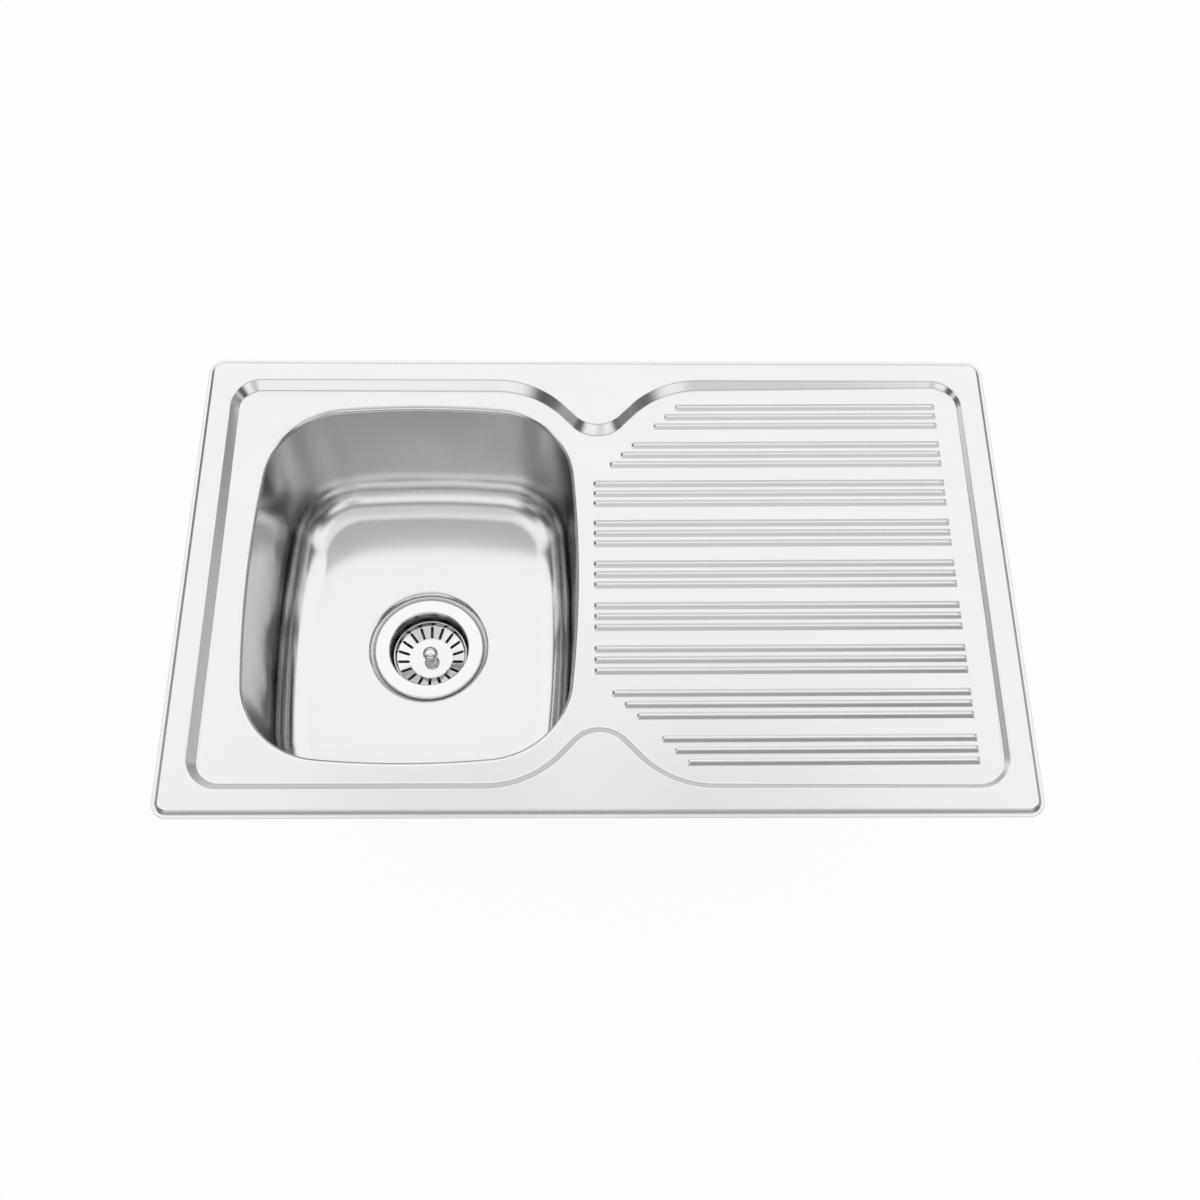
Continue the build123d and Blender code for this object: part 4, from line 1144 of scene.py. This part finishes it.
def noise(start, scale, detail=2.0):
    """Cloudy pattern on Object coordinates, stretched by its three scales (per metre)."""
    place = start.node("ShaderNodeTexCoord", out="Object")
    place = start.node("ShaderNodeMapping", {}, {"Vector": place, "Scale": scale})
    return start.node("ShaderNodeTexNoise", {}, {"Vector": place, "Scale": 1.0, "Detail": detail}, "Fac")


def mixed(start, share, first, second):
    """Colour between two colours: the first where share is 0, the second where it is 1."""
    sockets = {"Factor": share, MIX_FIRST: (*first, 1), MIX_SECOND: (*second, 1)}
    return start.node("ShaderNodeMix", {"data_type": "RGBA"}, sockets, MIX_COLOUR)


def bumped(start, height, strength, distance, **below):
    """Normal that leans with a height; Normal= gives the one that it starts from."""
    sockets = {"Height": height, "Strength": strength, "Distance": distance, **below}
    return start.node("ShaderNodeBump", {}, sockets)


def bare_metal(start, tone, roughness, edge, normal):
    """End a material with bare metal; edge is how much is left of the light that grazes it."""
    sockets = {
        "Base Color": tone,
        "Metallic": 1.0,
        "Roughness": roughness,
        "Specular Tint": (edge, edge, edge, 1),
        "Normal": normal,
    }
    surface = start.node("ShaderNodeBsdfPrincipled", {}, sockets)
    start.node("ShaderNodeOutputMaterial", {}, {"Surface": surface})


def metal(name, colour, roughness, spread, grain, strength, edge=1.0):
    """Metal with fine lines in a bump, at the scales of grain, and clouds in its roughness, by spread."""
    material, start = blank(name)
    clouds = noise(start, CLOUDS)
    lines = noise(start, grain, LINE_DETAIL)
    tone = mixed(start, clouds, [c * CLOUD_TONE for c in colour], colour)
    uneven = roughness + spread * (clouds - 0.5) + LINE_SPREAD * (lines - 0.5)
    bare_metal(start, tone, uneven, edge, bumped(start, lines, strength, LINE_HEIGHT))
    print(name, "nodes:", len(material.node_tree.nodes))
    return material


satin_steel = metal("satin_steel", (0.9, 0.9, 0.9), 0.2, spread=0.04, grain=GRAIN, strength=0.04, edge=0.56)
deck_piece.data.materials.append(satin_steel)

# %% [markdown]
# ## Drawn steel
# The bowl starts as the same sheet, but drawing changes it. The walls ripple a little. Across the grain, so
# on the front and back walls, reflections blur more. Deep on the end walls the colour is darker, as painted
# shade. Painted masks could say where, but smooth steps of the place are enough.

# %% Drawn steel
DRAWN_BLUR = 0.1
# share of the colour that is left where shade is painted on the end walls
END_SHADE_TONE = 0.7
ACROSS = (0.085, 0.15)  # metres from the middle where the front and back walls take over
ENDS = (0.1, 0.145)  # the same for the end walls
END_SHADE_DEPTH = (150.0, 60.0)  # heights over the floor between which the painted shade sets in
END_SHADE_FOOT = (8.0, 18.0)  # and fades again
RIPPLES = (20.0, 20.0, 8.0)
RIPPLE_FADE = (8.0, 60.0)
RIPPLE_HEIGHT = 0.0024
RIPPLE_DETAIL = 0.5
DRAWN_STRENGTH = 0.04


def ramp(start, value, low, high):
    """Smooth step of a wire: 0 where it is low, 1 where it is high."""
    settings = {"interpolation_type": "SMOOTHSTEP"}
    sockets = {"Value": value, "From Min": low, "From Max": high}
    return start.node("ShaderNodeMapRange", settings, sockets, "Result")


def drawn(name, colour, roughness, edge):
    """Steel drawn into the bowl, with grain along x and painted end-wall shade, from smooth steps of |x|,
    |y| and the height.
    """
    material, start = blank(name)
    place = start.node("ShaderNodeTexCoord", out="Object")
    x, y, z = (start.node("ShaderNodeSeparateXYZ", {}, {0: place}, axis) for axis in "XYZ")
    above = z * (1 / MM) - FLOOR_Z
    across = ramp(start, start.math("ABSOLUTE", y, 0.0), *ACROSS)
    ends = ramp(start, start.math("ABSOLUTE", x - BOWL_X * MM, 0.0), *ENDS)
    # painted shade: darker deep on the end walls, fading again near the floor
    end_wall_shade = ends * ramp(start, above, *END_SHADE_DEPTH) * ramp(start, above, *END_SHADE_FOOT)
    swell = noise(start, RIPPLES, RIPPLE_DETAIL) * ramp(start, above, *RIPPLE_FADE)
    waves = bumped(start, swell, 1.0, RIPPLE_HEIGHT)
    lines = noise(start, GRAIN, LINE_DETAIL)
    tone = mixed(start, end_wall_shade, colour, [c * END_SHADE_TONE for c in colour])
    uneven = roughness + DRAWN_BLUR * across + LINE_SPREAD * (lines - 0.5)
    bump = bumped(start, lines, DRAWN_STRENGTH, LINE_HEIGHT, Normal=waves)
    bare_metal(start, tone, uneven, edge, bump)
    print(name, "nodes:", len(material.node_tree.nodes))
    return material


bowl_piece.data.materials.append(drawn("drawn_steel", (0.88, 0.88, 0.88), 0.13, edge=0.6))

# %% [markdown]
# ## Spun steel
# The flange was finished on a lathe, so its fine lines are rings round the waste's axis: noise of the
# distance from the axis alone. A Wave texture has rings too, but even ones. Inside the throat the steel is
# less polished, and its darker colour there is painted shade for the deep throat and the cup below it.

# %% Spun steel
RINGS = 2500.0
RING_SPREAD = 0.05
RING_STRENGTH = 0.05
RING_HEIGHT = 0.0001
SPUN_EDGE = 0.4
INNER_BLUR = 0.14
THROAT_SHADE_DROP = 4.0  # height over which the painted throat shade sets in
THROAT_SHADE_START = 0.6  # flange top to where it starts


def spun(name, colour, throat_shade, top, roughness):
    """Steel spun on a lathe: rings of r = |(x, y) - axis|, and below the height top a darker tone, painted
    shade.
    """
    material, start = blank(name)
    place = start.node("ShaderNodeTexCoord", out="Object")
    height = start.node("ShaderNodeSeparateXYZ", {}, {0: place}, "Z")
    centring = {"Vector": place, "Location": (-BOWL_X * MM, 0, 0), "Scale": (1, 1, 0)}
    from_axis = start.node("ShaderNodeMapping", {}, centring)
    radius = start.node("ShaderNodeVectorMath", {"operation": "LENGTH"}, {0: from_axis}, "Value")
    sockets = {"W": RINGS * radius, "Scale": 1.0, "Detail": 2.0}
    rings = start.node("ShaderNodeTexNoise", {"noise_dimensions": "1D"}, sockets, "Fac")
    # mask of the painted shade in the throat and cup, which also raises the roughness there
    below = ramp(start, height, top * MM, (top - THROAT_SHADE_DROP) * MM)
    tone = mixed(start, below, colour, throat_shade)
    uneven = roughness + INNER_BLUR * below + RING_SPREAD * (rings - 0.5)
    bare_metal(start, tone, uneven, SPUN_EDGE, bumped(start, rings, RING_STRENGTH, RING_HEIGHT))
    print(name, "nodes:", len(material.node_tree.nodes))
    return material


# the grey (0.36, 0.36, 0.36) is painted shade for the throat and cup
spun_steel = spun("spun_steel", (0.95, 0.95, 0.95), (0.36, 0.36, 0.36), FLANGE_TOP - THROAT_SHADE_START, 0.16)
flange_piece.data.materials.append(spun_steel)

# %% [markdown]
# ## Polished steel, zinc and brass
# The basket and its knob are polished, with hardly any grain. The clips are zinc plated, which is grey and
# cloudy, and the thread insert is brass. The helper for satin steel gives all three, with an even grain.

# %% Other metals
EVEN = np.ones(3)
polished_steel = metal(
    "polished_steel", (0.93, 0.93, 0.93), 0.1, spread=0.03, grain=900.0 * EVEN, strength=0.02, edge=0.4
)
zinc_plate = metal("zinc_plate", (0.66, 0.67, 0.69), 0.34, spread=0.1, grain=300.0 * EVEN, strength=0.05)
brass = metal("brass", (0.78, 0.6, 0.3), 0.25, spread=0.05, grain=700.0 * EVEN, strength=0.03)
basket_piece.data.materials.append(polished_steel)
knob_piece.data.materials.append(polished_steel)

# %% [markdown]
# ## Rubber and plastic
# Seals, pads and the waste's body are out of sight under the sink. They still get a grain of their own,
# because the part may be seen from any side: a fine speckle in tone, roughness and bump.

# %% Rubber and plastic
SPECK_TONE = 0.85
SPECK_SPREAD = 0.1
SPECK_STRENGTH = 0.15
SPECK_HEIGHT = 0.0003


def dull(name, colour, roughness, grain):
    """Plastic or rubber: a colour with fine specks in tone, bump and roughness."""
    material, start = blank(name)
    specks = noise(start, grain * EVEN, LINE_DETAIL)
    sockets = {
        "Base Color": mixed(start, specks, [c * SPECK_TONE for c in colour], colour),
        "Roughness": roughness + SPECK_SPREAD * (specks - 0.5),
        "Normal": bumped(start, specks, SPECK_STRENGTH, SPECK_HEIGHT),
    }
    surface = start.node("ShaderNodeBsdfPrincipled", {}, sockets)
    start.node("ShaderNodeOutputMaterial", {}, {"Surface": surface})
    print(name, "nodes:", len(material.node_tree.nodes))
    return material


black_rubber = dull("black_rubber", (0.03, 0.03, 0.03), 0.7, grain=900.0)
white_plastic = dull("white_plastic", (0.8, 0.8, 0.79), 0.45, grain=1500.0)

# %% [markdown]
# ## Finishes on the CAD nodes
# The record names a material slot for each node. Every node takes the finish of its slot, also those that a
# new piece stands for.

# %% Finishes on the CAD nodes
finishes = {
    "brushed_stainless": satin_steel,
    "polished_stainless": polished_steel,
    "zinc_plated_steel": zinc_plate,
    "black_rubber": black_rubber,
    "white_plastic": white_plastic,
    "brass": brass,
}
slot_of = {part["node"]: part["material_slot"] for part in frame["record"]["subparts"]}
for name, node in frame["nodes"].items():
    node.data.materials.clear()
    node.data.materials.append(finishes[slot_of[name]])
print("finishes:", len(finishes), "on", len(slot_of), "nodes")

# %% [markdown]
# ## Camera
# The photograph's camera was found from the sink's straight edges: it looks down steeply over the front
# edge, a little from the left and a little rolled. Its axes are built from the three angles.

# %% Camera
PITCH, YAW, ROLL_ANGLE = np.radians([64.02, 2.23, 2.03])
CAMERA_PLACE = np.array([-21.5, -612.7, 1198.2])
SENSOR = 36.0
FOCAL_PIXELS = 1428.5
IMAGE_PIXELS = 1200
forward = np.array([np.sin(YAW) * np.cos(PITCH), np.cos(YAW) * np.cos(PITCH), -np.sin(PITCH)])
level_right = np.array([np.cos(YAW), -np.sin(YAW), 0])
level_up = np.cross(level_right, forward)
right = np.cos(ROLL_ANGLE) * level_right + np.sin(ROLL_ANGLE) * level_up
up = np.cos(ROLL_ANGLE) * level_up - np.sin(ROLL_ANGLE) * level_right
place = np.eye(4)
place[:3] = np.stack([right, up, -forward, CAMERA_PLACE * MM], 1)
lens = bpy.data.cameras.new("camera")
lens.sensor_width = SENSOR
lens.lens = SENSOR * FOCAL_PIXELS / IMAGE_PIXELS
camera = bpy.data.objects.new("camera", lens)
scene.collection.objects.link(camera)
camera.matrix_world = Matrix(place.tolist())
scene.camera = camera
scene.view_settings.view_transform = "Standard"
print("camera at", CAMERA_PLACE, f"lens {lens.lens:.2f}")
